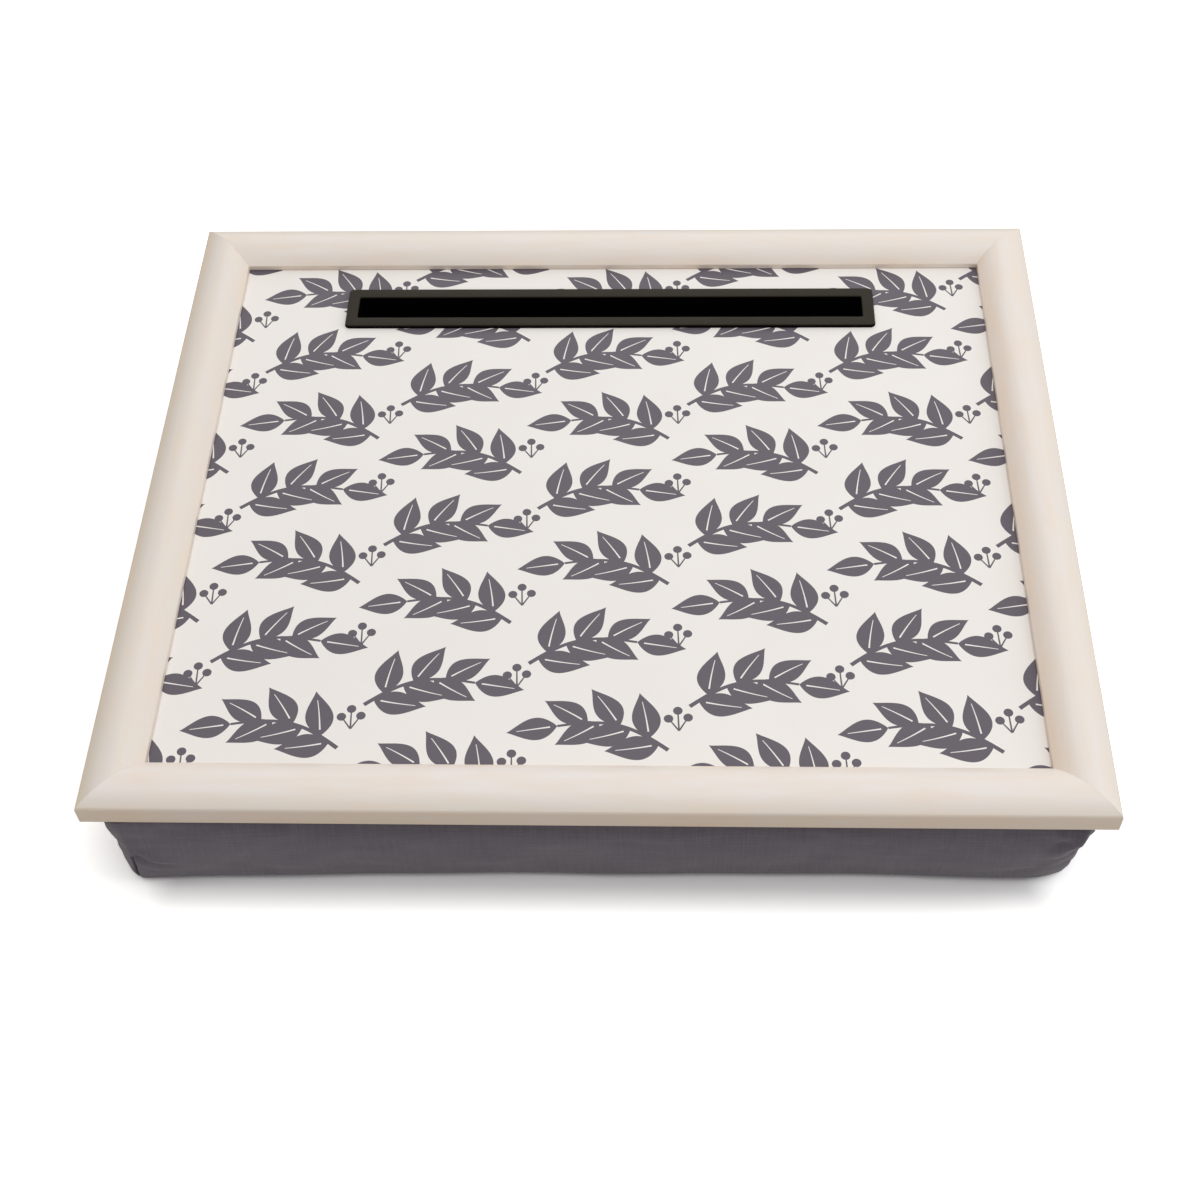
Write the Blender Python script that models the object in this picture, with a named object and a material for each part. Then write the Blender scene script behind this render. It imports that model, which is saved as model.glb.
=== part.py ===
"""Cushioned lap tray with a tablet slot.

A mitred moulding frames a printed laminate panel on its board. A moulded slot near the back edge
holds a tablet upright, and a bead-filled cushion is fastened under the frame with hook-and-loop
tape. Lengths are in metres. The origin is at the middle of the base, on the surface that the tray
lies on, with +X to the right, +Y to the back and +Z up.
"""

import math

import bmesh
import bpy
from mathutils import Matrix, Vector

# Tray, over the moulding's outer edges
TRAY_WIDTH = 0.440
TRAY_DEPTH = 0.365

# Clearance between pieces that touch on the real tray
SEAT_GAP = 0.0003

# Moulding section, measured inward from the outer edge and up from the underside
RAIL_WIDTH = 0.0254
CREST_PLACE = 0.0125
CREST_HEIGHT = 0.0150
SHOULDER_HEIGHT = 0.0107
LIP_TOP_HEIGHT = 0.0081
LIP_COVER = 0.0060
OUTER_DOME_POWER = 1.7
INNER_DOME_POWER = 2.1
DOME_STEPS = 9
SHOULDER_ROUND = 0.0012
LIP_ROUND = 0.0006
FOOT_ROUND = 0.0009
ROUND_STEPS = 3
MITRE_GAP = 0.0003

# Panel: printed laminate over a board, held up under the moulding's lip
PANEL_TOP_HEIGHT = 0.0053
LAMINATE_THICKNESS = 0.0005
BOARD_THICKNESS = 0.0025
BOARD_EDGE_GAP = 0.0005
BOARD_CORNER_RADIUS = 0.0010

# Moulded slot: the opening, its flange and the trough under it
SLOT_LENGTH = 0.264
SLOT_WIDTH = 0.0152
SLOT_DEPTH = 0.0140
SLOT_SETBACK = 0.0311
SLOT_CORNER_RADIUS = 0.0020
FLANGE_WIDTH = 0.0063
FLANGE_HEIGHT = 0.0022
FLANGE_CORNER_RADIUS = 0.0042
FLANGE_ROUND = 0.0008
MOUTH_ROUND = 0.0005
INSERT_WALL = 0.0015
TROUGH_ROUND = 0.0010
WALL_DRAFT = math.radians(1.5)
CUTOUT_GAP = 0.0004
BARB_LENGTH = 0.0120
BARB_HEIGHT = 0.0028
BARB_CATCH = 0.0009
BARB_LAND = 0.0005
BARB_PLACE_SHARES = (-0.36, 0.0, 0.36)

# V-nails across the mitres, driven in from the underside
NAIL_HEIGHT = 0.0070
NAIL_THICKNESS = 0.0006
NAIL_LEG = 0.0050
NAIL_HALF_ANGLE = math.radians(60)
NAIL_SINK = 0.0003
NAIL_POINT_HEIGHT = 0.0012
NAIL_EDGE_SHARE = 0.3
NAIL_PLACE_SHARES = {"outer": 0.26, "inner": 0.62}

# Flat points pressed into the rebate, which hold the board up
POINT_WIDTH = 0.0090
POINT_THICKNESS = 0.0005
POINT_BITE = 0.0060
POINT_REACH = 0.0080
LONG_SIDE_POINT_SHARES = (-0.34, 0.0, 0.34)
SHORT_SIDE_POINT_SHARES = (-0.26, 0.26)

# Hook-and-loop tape between the frame and the cushion
TAPE_WIDTH = 0.0100
TAPE_THICKNESS = 0.0011
TAPE_EDGE_PLACE = 0.0090
LONG_TAPE_LENGTH = 0.300
SHORT_TAPE_LENGTH = 0.220
TAPE_CORNER_RADIUS = 0.0015

# Cushion
CUSHION_SIDE_INSET = 0.0075
CUSHION_FRONT_INSET = 0.0035
CUSHION_HEIGHT = 0.0500
CUSHION_CORNER_RADIUS = 0.009
CUSHION_BASE_ROUND = 0.007
FABRIC_THICKNESS = 0.0012
BASE_ROUND_STEPS = 6

# Facets in each rounded corner of a ring
CORNER_STEPS = 6

# How far a cutter runs past the face that it opens
CUT_OVERRUN = 0.0020

# Places that follow from the sizes above
REBATE_PLACE = RAIL_WIDTH - LIP_COVER
LIP_UNDERSIDE = PANEL_TOP_HEIGHT + SEAT_GAP
BOARD_TOP = PANEL_TOP_HEIGHT - LAMINATE_THICKNESS - SEAT_GAP
BOARD_UNDERSIDE = BOARD_TOP - BOARD_THICKNESS
POINT_TOP = BOARD_UNDERSIDE - SEAT_GAP
FLANGE_TOP = PANEL_TOP_HEIGHT + FLANGE_HEIGHT
SLOT_FLOOR = FLANGE_TOP - SLOT_DEPTH
TROUGH_UNDERSIDE = SLOT_FLOOR - INSERT_WALL
SLOT_PLACE_Y = TRAY_DEPTH / 2 - RAIL_WIDTH - SLOT_SETBACK
CUSHION_HALF_WIDTH = TRAY_WIDTH / 2 - CUSHION_SIDE_INSET
CUSHION_HALF_DEPTH = TRAY_DEPTH / 2 - CUSHION_FRONT_INSET
LOOP_TAPE_TOP = CUSHION_HEIGHT + SEAT_GAP + TAPE_THICKNESS
FRAME_UNDERSIDE = LOOP_TAPE_TOP + SEAT_GAP + TAPE_THICKNESS + SEAT_GAP


def clear_scene():
    """Remove whatever the open file holds."""
    for item in list(bpy.data.objects):
        bpy.data.objects.remove(item, do_unlink=True)


def finish_material(name, colour, roughness, metallic=0.0):
    """A Principled BSDF finish."""
    finish = bpy.data.materials.new(name)
    finish.use_nodes = True
    shader = finish.node_tree.nodes["Principled BSDF"]
    shader.inputs["Base Color"].default_value = (*colour, 1.0)
    shader.inputs["Roughness"].default_value = roughness
    shader.inputs["Metallic"].default_value = metallic
    finish.diffuse_color = (*colour, 1.0)
    return finish


def rounded_rectangle(half_x, half_y, radius, height, centre_y=0):
    """Ring round a rectangle with arc corners, anticlockwise seen from above."""
    ring = []
    corners = ((1, 1), (-1, 1), (-1, -1), (1, -1))
    for quarter, (side_x, side_y) in enumerate(corners):
        for step in range(CORNER_STEPS + 1):
            angle = (quarter + step / CORNER_STEPS) * math.pi / 2
            x = side_x * (half_x - radius) + radius * math.cos(angle)
            y = side_y * (half_y - radius) + radius * math.sin(angle)
            ring.append((x, centre_y + y, height))
    return ring


def add_loft(shape, rings, place=None, ring_shaped=False):
    """Skin rings of equal point counts into a bmesh: capped at both ends, or closed on itself."""
    place = place or Matrix.Identity(4)
    loops = []
    for ring in rings:
        loops.append([shape.verts.new(place @ Vector(point)) for point in ring])
    pairs = list(zip(loops, loops[1:]))
    if ring_shaped:
        pairs.append((loops[-1], loops[0]))
    for low, high in pairs:
        for this in range(len(low)):
            after = (this + 1) % len(low)
            shape.faces.new((low[this], low[after], high[after], high[this]))
    if not ring_shaped:
        shape.faces.new(reversed(loops[0]))
        shape.faces.new(loops[-1])


def mesh_from(name, shape):
    """Turn a bmesh of closed bodies into a mesh with its faces pointing out."""
    bmesh.ops.recalc_face_normals(shape, faces=shape.faces)
    mesh = bpy.data.meshes.new(name)
    shape.to_mesh(mesh)
    shape.free()
    return mesh


def lofted_mesh(name, rings, ring_shaped=False):
    """One closed body skinned over rings."""
    shape = bmesh.new()
    add_loft(shape, rings, ring_shaped=ring_shaped)
    return mesh_from(name, shape)


def place_piece(name, mesh, finish, parent, location=(0, 0, 0), turn=0.0):
    """Put a named piece in the scene, at a place and a turn about Z under its parent."""
    piece = bpy.data.objects.new(name, mesh)
    bpy.context.scene.collection.objects.link(piece)
    piece.parent = parent
    piece.location = location
    piece.rotation_euler = (0, 0, turn)
    if not mesh.materials:
        mesh.materials.append(finish)
    mesh.shade_smooth()
    mesh.set_sharp_from_angle(angle=math.radians(30))
    return piece


def place_helper(name, mesh, parent):
    """A shape that only cuts or joins: left out of the finished part."""
    helper = bpy.data.objects.new(name, mesh)
    bpy.context.scene.collection.objects.link(helper)
    helper.parent = parent
    helper.hide_render = True
    helper.display_type = "WIRE"
    return helper


def place_group(name, height):
    """An empty that carries one half of the tray."""
    group = bpy.data.objects.new(name, None)
    bpy.context.scene.collection.objects.link(group)
    group.location = (0, 0, height)
    return group


def add_boolean(piece, helper, operation):
    """Cut a helper out of a piece, or join it on."""
    boolean = piece.modifiers.new(helper.name, "BOOLEAN")
    boolean.operation = operation
    boolean.solver = "EXACT"
    boolean.object = helper


def side_table():
    """Each side's name, length, outer edge's middle, turn about Z and whether it is a long side.

    In a side's own frame +X runs along the rail and +Y runs inward from its outer edge.
    """
    quarter = math.pi / 2
    return (
        ("front", TRAY_WIDTH, (0, -TRAY_DEPTH / 2, 0), 0, True),
        ("right", TRAY_DEPTH, (TRAY_WIDTH / 2, 0, 0), quarter, False),
        ("back", TRAY_WIDTH, (0, TRAY_DEPTH / 2, 0), 2 * quarter, True),
        ("left", TRAY_DEPTH, (-TRAY_WIDTH / 2, 0, 0), 3 * quarter, False),
    )


def corner_table():
    """Each corner's name, outer point and the angle of its mitre line, running inward."""
    eighth = math.pi / 4
    return (
        ("front_left", (-TRAY_WIDTH / 2, -TRAY_DEPTH / 2), eighth),
        ("front_right", (TRAY_WIDTH / 2, -TRAY_DEPTH / 2), 3 * eighth),
        ("back_right", (TRAY_WIDTH / 2, TRAY_DEPTH / 2), 5 * eighth),
        ("back_left", (-TRAY_WIDTH / 2, TRAY_DEPTH / 2), 7 * eighth),
    )


def fillet(before, corner, after, radius):
    """Points of the arc that rounds one corner of a section."""
    to_before = (before[0] - corner[0], before[1] - corner[1])
    to_after = (after[0] - corner[0], after[1] - corner[1])
    length_before = math.hypot(*to_before)
    length_after = math.hypot(*to_after)
    unit_before = (to_before[0] / length_before, to_before[1] / length_before)
    unit_after = (to_after[0] / length_after, to_after[1] / length_after)
    opening = math.acos(unit_before[0] * unit_after[0] + unit_before[1] * unit_after[1])
    middle = (unit_before[0] + unit_after[0], unit_before[1] + unit_after[1])
    reach = radius / math.sin(opening / 2) / math.hypot(*middle)
    centre = (corner[0] + middle[0] * reach, corner[1] + middle[1] * reach)
    tangent = radius / math.tan(opening / 2)
    start = (corner[0] + unit_before[0] * tangent, corner[1] + unit_before[1] * tangent)
    start_angle = math.atan2(start[1] - centre[1], start[0] - centre[0])
    cross = unit_before[0] * unit_after[1] - unit_before[1] * unit_after[0]
    sweep = math.copysign(math.pi - opening, -cross)
    arc = []
    for step in range(ROUND_STEPS + 1):
        angle = start_angle + sweep * step / ROUND_STEPS
        arc.append((centre[0] + radius * math.cos(angle), centre[1] + radius * math.sin(angle)))
    return arc


def dome_height(place):
    """Height of the moulding's domed face: it falls from the crest by a power of the distance."""
    if place < CREST_PLACE:
        drop = CREST_HEIGHT - SHOULDER_HEIGHT
        share = (CREST_PLACE - place) / CREST_PLACE
        return CREST_HEIGHT - drop * share**OUTER_DOME_POWER
    drop = CREST_HEIGHT - LIP_TOP_HEIGHT
    share = (place - CREST_PLACE) / (RAIL_WIDTH - CREST_PLACE)
    return CREST_HEIGHT - drop * share**INNER_DOME_POWER


def moulding_section():
    """Closed outline of the moulding, from the foot inward, under the lip and back over the dome."""
    inner_run = RAIL_WIDTH - CREST_PLACE
    inner_dome = [RAIL_WIDTH - inner_run * step / DOME_STEPS for step in range(1, DOME_STEPS)]
    outer_dome = [CREST_PLACE * (1 - step / DOME_STEPS) for step in range(DOME_STEPS)]
    dome = [(place, dome_height(place)) for place in inner_dome + outer_dome]
    lip_foot = (RAIL_WIDTH, LIP_UNDERSIDE)
    lip_edge = (RAIL_WIDTH, LIP_TOP_HEIGHT)
    shoulder = (0, SHOULDER_HEIGHT)
    foot = (0, 0)
    rebate_foot = (REBATE_PLACE, 0)
    section = [rebate_foot, (REBATE_PLACE, LIP_UNDERSIDE), lip_foot]
    section += fillet(lip_foot, lip_edge, dome[0], LIP_ROUND)
    section += dome
    section += fillet(dome[-1], shoulder, foot, SHOULDER_ROUND)
    section += fillet(shoulder, foot, rebate_foot, FOOT_ROUND)
    return section


def rail_mesh(length):
    """The moulding section carried along a side, sheared at both ends to the mitre."""
    mitre_setback = MITRE_GAP / 2 * math.sqrt(2)
    rings = []
    for side in (-1, 1):
        half = length / 2 - mitre_setback
        rings.append([(side * (half - place), place, height) for place, height in moulding_section()])
    return lofted_mesh("moulding", rings)


def nail_outline(grow):
    """V seen from below: its point on the mitre line, one leg into each rail."""
    half = NAIL_THICKNESS / 2 + grow
    leg = NAIL_LEG + grow
    along = math.cos(NAIL_HALF_ANGLE)
    across = math.sin(NAIL_HALF_ANGLE)
    tip = (leg * along, leg * across)
    side = (half * across, half * along)
    return [
        (-half / across, 0),
        (tip[0] - side[0], -tip[1] - side[1]),
        (tip[0] + side[0], -tip[1] + side[1]),
        (half / across, 0),
        (tip[0] + side[0], tip[1] - side[1]),
        (tip[0] - side[0], tip[1] + side[1]),
    ]


def nail_rings():
    """A V-nail, thinned to a cutting edge at its top."""
    edge_cut = NAIL_THICKNESS / 2 * (NAIL_EDGE_SHARE - 1)
    top = NAIL_SINK + NAIL_HEIGHT
    body = nail_outline(0)
    edge = nail_outline(edge_cut)
    return [
        [(x, y, NAIL_SINK) for x, y in body],
        [(x, y, top - NAIL_POINT_HEIGHT) for x, y in body],
        [(x, y, top) for x, y in edge],
    ]


def nail_places():
    """Each V-nail's name and its place and turn on the underside."""
    underside_diagonal = REBATE_PLACE * math.sqrt(2)
    places = []
    for corner, (x, y), angle in corner_table():
        for spot, share in NAIL_PLACE_SHARES.items():
            along = share * underside_diagonal
            location = (x + along * math.cos(angle), y + along * math.sin(angle), 0)
            places.append((f"corner_nail_{corner}_{spot}", location, angle))
    return places


def point_places():
    """Each board point's name and its side's place and turn, with the point's own place along it."""
    places = []
    for side, length, middle, turn, is_long in side_table():
        shares = LONG_SIDE_POINT_SHARES if is_long else SHORT_SIDE_POINT_SHARES
        for number, share in enumerate(shares, start=1):
            along = share * length
            x = middle[0] + along * math.cos(turn)
            y = middle[1] + along * math.sin(turn)
            places.append((f"board_point_{side}_{number}", (x, y, 0), turn))
    return places


def point_rings():
    """A flat arrow: its tip in the rail, its tail under the board."""
    half = POINT_WIDTH / 2
    tail = REBATE_PLACE + POINT_REACH
    tip = REBATE_PLACE - POINT_BITE
    barb = REBATE_PLACE - POINT_BITE / 2
    outline = [(-half, tail), (-half, barb), (0, tip), (half, barb), (half, tail)]
    heights = (POINT_TOP - POINT_THICKNESS, POINT_TOP)
    return [[(x, y, height) for x, y in outline] for height in heights]


def pocket_rings():
    """The space that a board point takes in its rail."""
    half = POINT_WIDTH / 2 + SEAT_GAP
    deep = REBATE_PLACE - POINT_BITE - SEAT_GAP
    mouth = REBATE_PLACE + CUT_OVERRUN
    outline = [(-half, mouth), (-half, deep), (half, deep), (half, mouth)]
    heights = (POINT_TOP - POINT_THICKNESS - SEAT_GAP, POINT_TOP + SEAT_GAP)
    return [[(x, y, height) for x, y in outline] for height in heights]


def joinery_mesh():
    """Everything that is cut out of the rails: V-nail slots and board point pockets."""
    shape = bmesh.new()
    slot_outline = nail_outline(SEAT_GAP)
    slot_heights = (-CUT_OVERRUN, NAIL_SINK + NAIL_HEIGHT + SEAT_GAP)
    slot_rings = [[(x, y, height) for x, y in slot_outline] for height in slot_heights]
    for _, location, turn in nail_places():
        add_loft(shape, slot_rings, Matrix.Translation(location) @ Matrix.Rotation(turn, 4, "Z"))
    for _, location, turn in point_places():
        add_loft(shape, pocket_rings(), Matrix.Translation(location) @ Matrix.Rotation(turn, 4, "Z"))
    return mesh_from("joinery", shape)


def build_rails(parent):
    """Four mitred rails with their joinery cut in."""
    paint = finish_material("cream_paint", (0.78, 0.73, 0.65), 0.45)
    joinery = place_helper("joinery_cutter", joinery_mesh(), parent)
    for side, length, middle, turn, _ in side_table():
        rail = place_piece(f"{side}_rail", rail_mesh(length), paint, parent, middle, turn)
        add_boolean(rail, joinery, "DIFFERENCE")


def build_fixings(parent):
    """V-nails at the corners and points along the rebate."""
    steel = finish_material("bright_steel", (0.62, 0.62, 0.63), 0.35, 1.0)
    nail = lofted_mesh("corner_nail", nail_rings())
    for name, location, turn in nail_places():
        place_piece(name, nail, steel, parent, location, turn)
    point = lofted_mesh("board_point", point_rings())
    for name, location, turn in point_places():
        place_piece(name, point, steel, parent, location, turn)


def sheet_rings(low, high):
    """A sheet that fills the rebate, with the cut-out for the slot's trough."""
    half_x = TRAY_WIDTH / 2 - REBATE_PLACE - BOARD_EDGE_GAP
    half_y = TRAY_DEPTH / 2 - REBATE_PLACE - BOARD_EDGE_GAP
    cut_x, cut_y, cut_radius = trough_size(CUTOUT_GAP)
    return [
        rounded_rectangle(half_x, half_y, BOARD_CORNER_RADIUS, high),
        rounded_rectangle(half_x, half_y, BOARD_CORNER_RADIUS, low),
        rounded_rectangle(cut_x, cut_y, cut_radius, low, SLOT_PLACE_Y),
        rounded_rectangle(cut_x, cut_y, cut_radius, high, SLOT_PLACE_Y),
    ]


def trough_size(grow):
    """Half length, half width and corner radius of the trough's outside, grown all round."""
    wall = INSERT_WALL + grow
    return SLOT_LENGTH / 2 + wall, SLOT_WIDTH / 2 + wall, SLOT_CORNER_RADIUS + wall


def build_panel(parent):
    """The printed laminate and the board under it."""
    laminate = finish_material("printed_laminate", (0.82, 0.79, 0.76), 0.3)
    board = finish_material("brown_board", (0.32, 0.2, 0.12), 0.7)
    top_rings = sheet_rings(PANEL_TOP_HEIGHT - LAMINATE_THICKNESS, PANEL_TOP_HEIGHT)
    place_piece("decor_panel", lofted_mesh("decor_panel", top_rings, True), laminate, parent)
    board_rings = sheet_rings(BOARD_UNDERSIDE, BOARD_TOP)
    place_piece("tray_board", lofted_mesh("tray_board", board_rings, True), board, parent)


def insert_ring(grow, height, radius=None):
    """A ring round the slot, grown from the opening's outline."""
    radius = radius or SLOT_CORNER_RADIUS + grow
    return rounded_rectangle(SLOT_LENGTH / 2 + grow, SLOT_WIDTH / 2 + grow, radius, height, SLOT_PLACE_Y)


def quarter_round(radius):
    """Steps of a quarter round: (how far in, how far up) from its lower end."""
    steps = []
    for step in range(ROUND_STEPS + 1):
        angle = step / ROUND_STEPS * math.pi / 2
        steps.append((radius * (1 - math.cos(angle)), radius * math.sin(angle)))
    return steps


def insert_rings():
    """Trough and flange as one skin, from the underside's middle out, over and down to the floor."""
    taper = SLOT_DEPTH * math.tan(WALL_DRAFT)
    rings = []
    for inward, up in quarter_round(TROUGH_ROUND):
        grow = INSERT_WALL - taper - (TROUGH_ROUND - up)
        rings.append(insert_ring(grow, TROUGH_UNDERSIDE + inward))
    flange_underside = PANEL_TOP_HEIGHT + SEAT_GAP
    rings.append(insert_ring(INSERT_WALL, flange_underside))
    rings.append(insert_ring(FLANGE_WIDTH, flange_underside, FLANGE_CORNER_RADIUS))
    for inward, up in quarter_round(FLANGE_ROUND):
        radius = FLANGE_CORNER_RADIUS - inward
        rings.append(insert_ring(FLANGE_WIDTH - inward, FLANGE_TOP - FLANGE_ROUND + up, radius))
    for inward, up in reversed(quarter_round(MOUTH_ROUND)):
        rings.append(insert_ring(inward, FLANGE_TOP - MOUTH_ROUND + up))
    rings.append(insert_ring(-taper, SLOT_FLOOR))
    return rings


def barb_mesh():
    """Wedges on the trough's long walls that catch under the board."""
    top = BOARD_UNDERSIDE - SEAT_GAP
    wall_face = SLOT_WIDTH / 2 + INSERT_WALL
    root = wall_face - INSERT_WALL / 2
    reach = wall_face + CUTOUT_GAP + BARB_CATCH
    section = [(root, top), (reach, top), (reach, top - BARB_LAND), (root, top - BARB_HEIGHT)]
    shape = bmesh.new()
    for share in BARB_PLACE_SHARES:
        middle = share * SLOT_LENGTH
        ends = (middle - BARB_LENGTH / 2, middle + BARB_LENGTH / 2)
        for side in (-1, 1):
            rings = [[(x, SLOT_PLACE_Y + side * y, z) for y, z in section] for x in ends]
            add_loft(shape, rings)
    return mesh_from("barbs", shape)


def build_insert(parent):
    """The moulded slot insert with its snap barbs."""
    plastic = finish_material("black_plastic", (0.035, 0.032, 0.03), 0.45)
    insert = place_piece("slot_insert", lofted_mesh("slot_insert", insert_rings()), plastic, parent)
    add_boolean(insert, place_helper("barb_guide", barb_mesh(), parent), "UNION")


def tape_rings(length, low):
    """A strip of tape along a side, in the side's own frame."""
    centre = TAPE_EDGE_PLACE + TAPE_WIDTH / 2
    half = (length / 2, TAPE_WIDTH / 2)
    heights = (low, low + TAPE_THICKNESS)
    return [rounded_rectangle(*half, TAPE_CORNER_RADIUS, height, centre) for height in heights]


def build_tapes(frame_group, cushion_group):
    """Hook tape on the frame's underside and loop tape on the cushion."""
    tape = finish_material("black_tape", (0.02, 0.02, 0.022), 0.9)
    hook_low = -SEAT_GAP - TAPE_THICKNESS
    loop_low = CUSHION_HEIGHT + SEAT_GAP
    for side, _, middle, turn, is_long in side_table():
        length = LONG_TAPE_LENGTH if is_long else SHORT_TAPE_LENGTH
        hook = lofted_mesh("hook_tape", tape_rings(length, hook_low))
        loop = lofted_mesh("loop_tape", tape_rings(length, loop_low))
        place_piece(f"hook_tape_{side}", hook, tape, frame_group, middle, turn)
        place_piece(f"loop_tape_{side}", loop, tape, cushion_group, middle, turn)


def cushion_ring(inset, height):
    """A ring round the cushion, set in from its widest line."""
    radius = CUSHION_CORNER_RADIUS - inset
    return rounded_rectangle(CUSHION_HALF_WIDTH - inset, CUSHION_HALF_DEPTH - inset, radius, height)


def tub_rings(offset, rim):
    """Base and sides of a surface that lies a set distance inside the cover's outer face."""
    radius = CUSHION_BASE_ROUND - offset
    rings = []
    for step in range(BASE_ROUND_STEPS + 1):
        angle = step / BASE_ROUND_STEPS * math.pi / 2
        inset = CUSHION_BASE_ROUND - radius * math.sin(angle)
        rings.append(cushion_ring(inset, CUSHION_BASE_ROUND - radius * math.cos(angle)))
    rings.append(cushion_ring(offset, rim))
    return rings


def dent_ring(grow, height):
    """A ring round the hollow that the slot's trough presses into the cushion."""
    half_x, half_y, radius = trough_size(SEAT_GAP + grow)
    return rounded_rectangle(half_x, half_y, radius, height, SLOT_PLACE_Y)


def build_cushion(parent):
    """The cover's base and sides in one piece, its top panel and the beads inside."""
    cloth = finish_material("slate_cotton", (0.095, 0.083, 0.096), 0.95)
    beads = finish_material("white_beads", (0.85, 0.85, 0.84), 0.8)
    sheet_low = CUSHION_HEIGHT - FABRIC_THICKNESS
    rim = sheet_low - SEAT_GAP
    dent_floor = FRAME_UNDERSIDE + TROUGH_UNDERSIDE - SEAT_GAP
    dent_underside = dent_floor - FABRIC_THICKNESS
    base_rings = tub_rings(0, rim) + tub_rings(FABRIC_THICKNESS, rim)[::-1]
    place_piece("cushion_base_cover", lofted_mesh("base_cover", base_rings), cloth, parent)
    top_rings = [
        dent_ring(0, dent_floor),
        dent_ring(0, CUSHION_HEIGHT),
        cushion_ring(0, CUSHION_HEIGHT),
        cushion_ring(0, sheet_low),
        dent_ring(FABRIC_THICKNESS, sheet_low),
        dent_ring(FABRIC_THICKNESS, dent_underside),
    ]
    place_piece("cushion_top_cover", lofted_mesh("top_cover", top_rings), cloth, parent)
    filling_edge = FABRIC_THICKNESS + SEAT_GAP
    filling_rings = tub_rings(filling_edge, rim)
    filling_rings.append(dent_ring(filling_edge, rim))
    filling_rings.append(dent_ring(filling_edge, dent_underside - SEAT_GAP))
    place_piece("bead_filling", lofted_mesh("bead_filling", filling_rings), beads, parent)


def main():
    """Build the whole tray: the framed top, then the cushion under it."""
    clear_scene()
    frame_group = place_group("framed_top", FRAME_UNDERSIDE)
    cushion_group = place_group("cushion", 0)
    build_rails(frame_group)
    build_fixings(frame_group)
    build_panel(frame_group)
    build_insert(frame_group)
    build_tapes(frame_group, cushion_group)
    build_cushion(cushion_group)


main()
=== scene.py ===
"""The looks of a cushioned lap tray: painted moulding, printed laminate, moulded slot, cloth cushion.

Lengths are in metres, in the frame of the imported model: +X right, +Y back, +Z up, floor at zero.
"""

import math

import bpy
import numpy as np
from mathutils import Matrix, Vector, geometry


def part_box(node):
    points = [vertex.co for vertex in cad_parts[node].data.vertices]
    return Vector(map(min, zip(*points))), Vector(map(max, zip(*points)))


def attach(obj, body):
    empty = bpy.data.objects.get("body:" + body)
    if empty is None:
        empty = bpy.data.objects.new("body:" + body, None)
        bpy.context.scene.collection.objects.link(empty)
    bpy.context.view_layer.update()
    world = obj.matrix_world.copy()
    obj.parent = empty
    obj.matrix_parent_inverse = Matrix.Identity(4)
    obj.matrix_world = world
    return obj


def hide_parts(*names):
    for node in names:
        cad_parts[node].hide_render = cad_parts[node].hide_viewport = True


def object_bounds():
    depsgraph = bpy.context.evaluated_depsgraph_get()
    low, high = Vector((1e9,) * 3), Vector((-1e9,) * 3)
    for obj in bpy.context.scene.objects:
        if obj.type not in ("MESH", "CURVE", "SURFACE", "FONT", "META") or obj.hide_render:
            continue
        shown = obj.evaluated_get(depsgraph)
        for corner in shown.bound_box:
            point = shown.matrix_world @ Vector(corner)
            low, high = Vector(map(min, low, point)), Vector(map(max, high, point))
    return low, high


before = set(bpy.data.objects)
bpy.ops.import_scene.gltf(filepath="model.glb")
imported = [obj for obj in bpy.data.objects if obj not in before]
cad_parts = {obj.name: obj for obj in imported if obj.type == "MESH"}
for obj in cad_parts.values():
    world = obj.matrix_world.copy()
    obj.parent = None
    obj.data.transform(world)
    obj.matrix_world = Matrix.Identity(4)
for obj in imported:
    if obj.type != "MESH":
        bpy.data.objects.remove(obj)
cad_low, cad_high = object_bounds()

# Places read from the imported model
rail_low, rail_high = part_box("front_rail")
panel_low, panel_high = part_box("decor_panel")
slot_low, slot_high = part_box("slot_insert")
RAIL_UNDERSIDE = rail_low.z
RAIL_CREST = rail_high.z
RAIL_WIDTH = rail_high.y - rail_low.y
PANEL_TOP = panel_high.z
SLOT_MIDDLE_Y = (slot_low.y + slot_high.y) / 2

# Camera, worked out from the corners of the moulding
CAMERA_PLACE = (0.0293, -0.5660, 0.7135)
CAMERA_TURN_DEGREES = (37.38, 1.51, 1.40)
CAMERA_LENS_MM = 53.75
SENSOR_WIDTH_MM = 36.0

# Light: even light from all round and three soft boxes (place, size, power, colour)
AMBIENT_STRENGTH = 0.42
AMBIENT_COLOUR = (1.0, 0.980, 0.950)
SOFTBOXES = {
    "top_light": ((0.10, -0.10, 2.40), 2.0, 24.0, (1.0, 0.980, 0.950)),
    "right_light": ((1.8, 0.0, 1.1), 1.4, 13.0, (0.95, 0.980, 1.0)),
    "back_light": ((0.0, 1.9, 1.2), 1.4, 8.0, (0.96, 0.985, 1.0)),
}

# Floor: its colour to the camera by the distance from a middle rectangle, darker near it as a
# painted shadow, and to the light
FLOOR_SIZE = 12.0
FLOOR_REACH = (0.190, 0.1825)
FLOOR_NEAR_PAINTED_SHADE = (1.00, 1.00, 1.02)
FLOOR_FAR_COLOUR = (1.66, 1.67, 1.68)
FLOOR_DISTANT_COLOUR = (2.6, 2.6, 2.6)
FLOOR_SHADE_RAMP = (0.0, 0.014)
FLOOR_DISTANT_RAMP = (0.05, 0.40)
FLOOR_LIT_COLOUR = (0.65, 0.65, 0.65)

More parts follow.
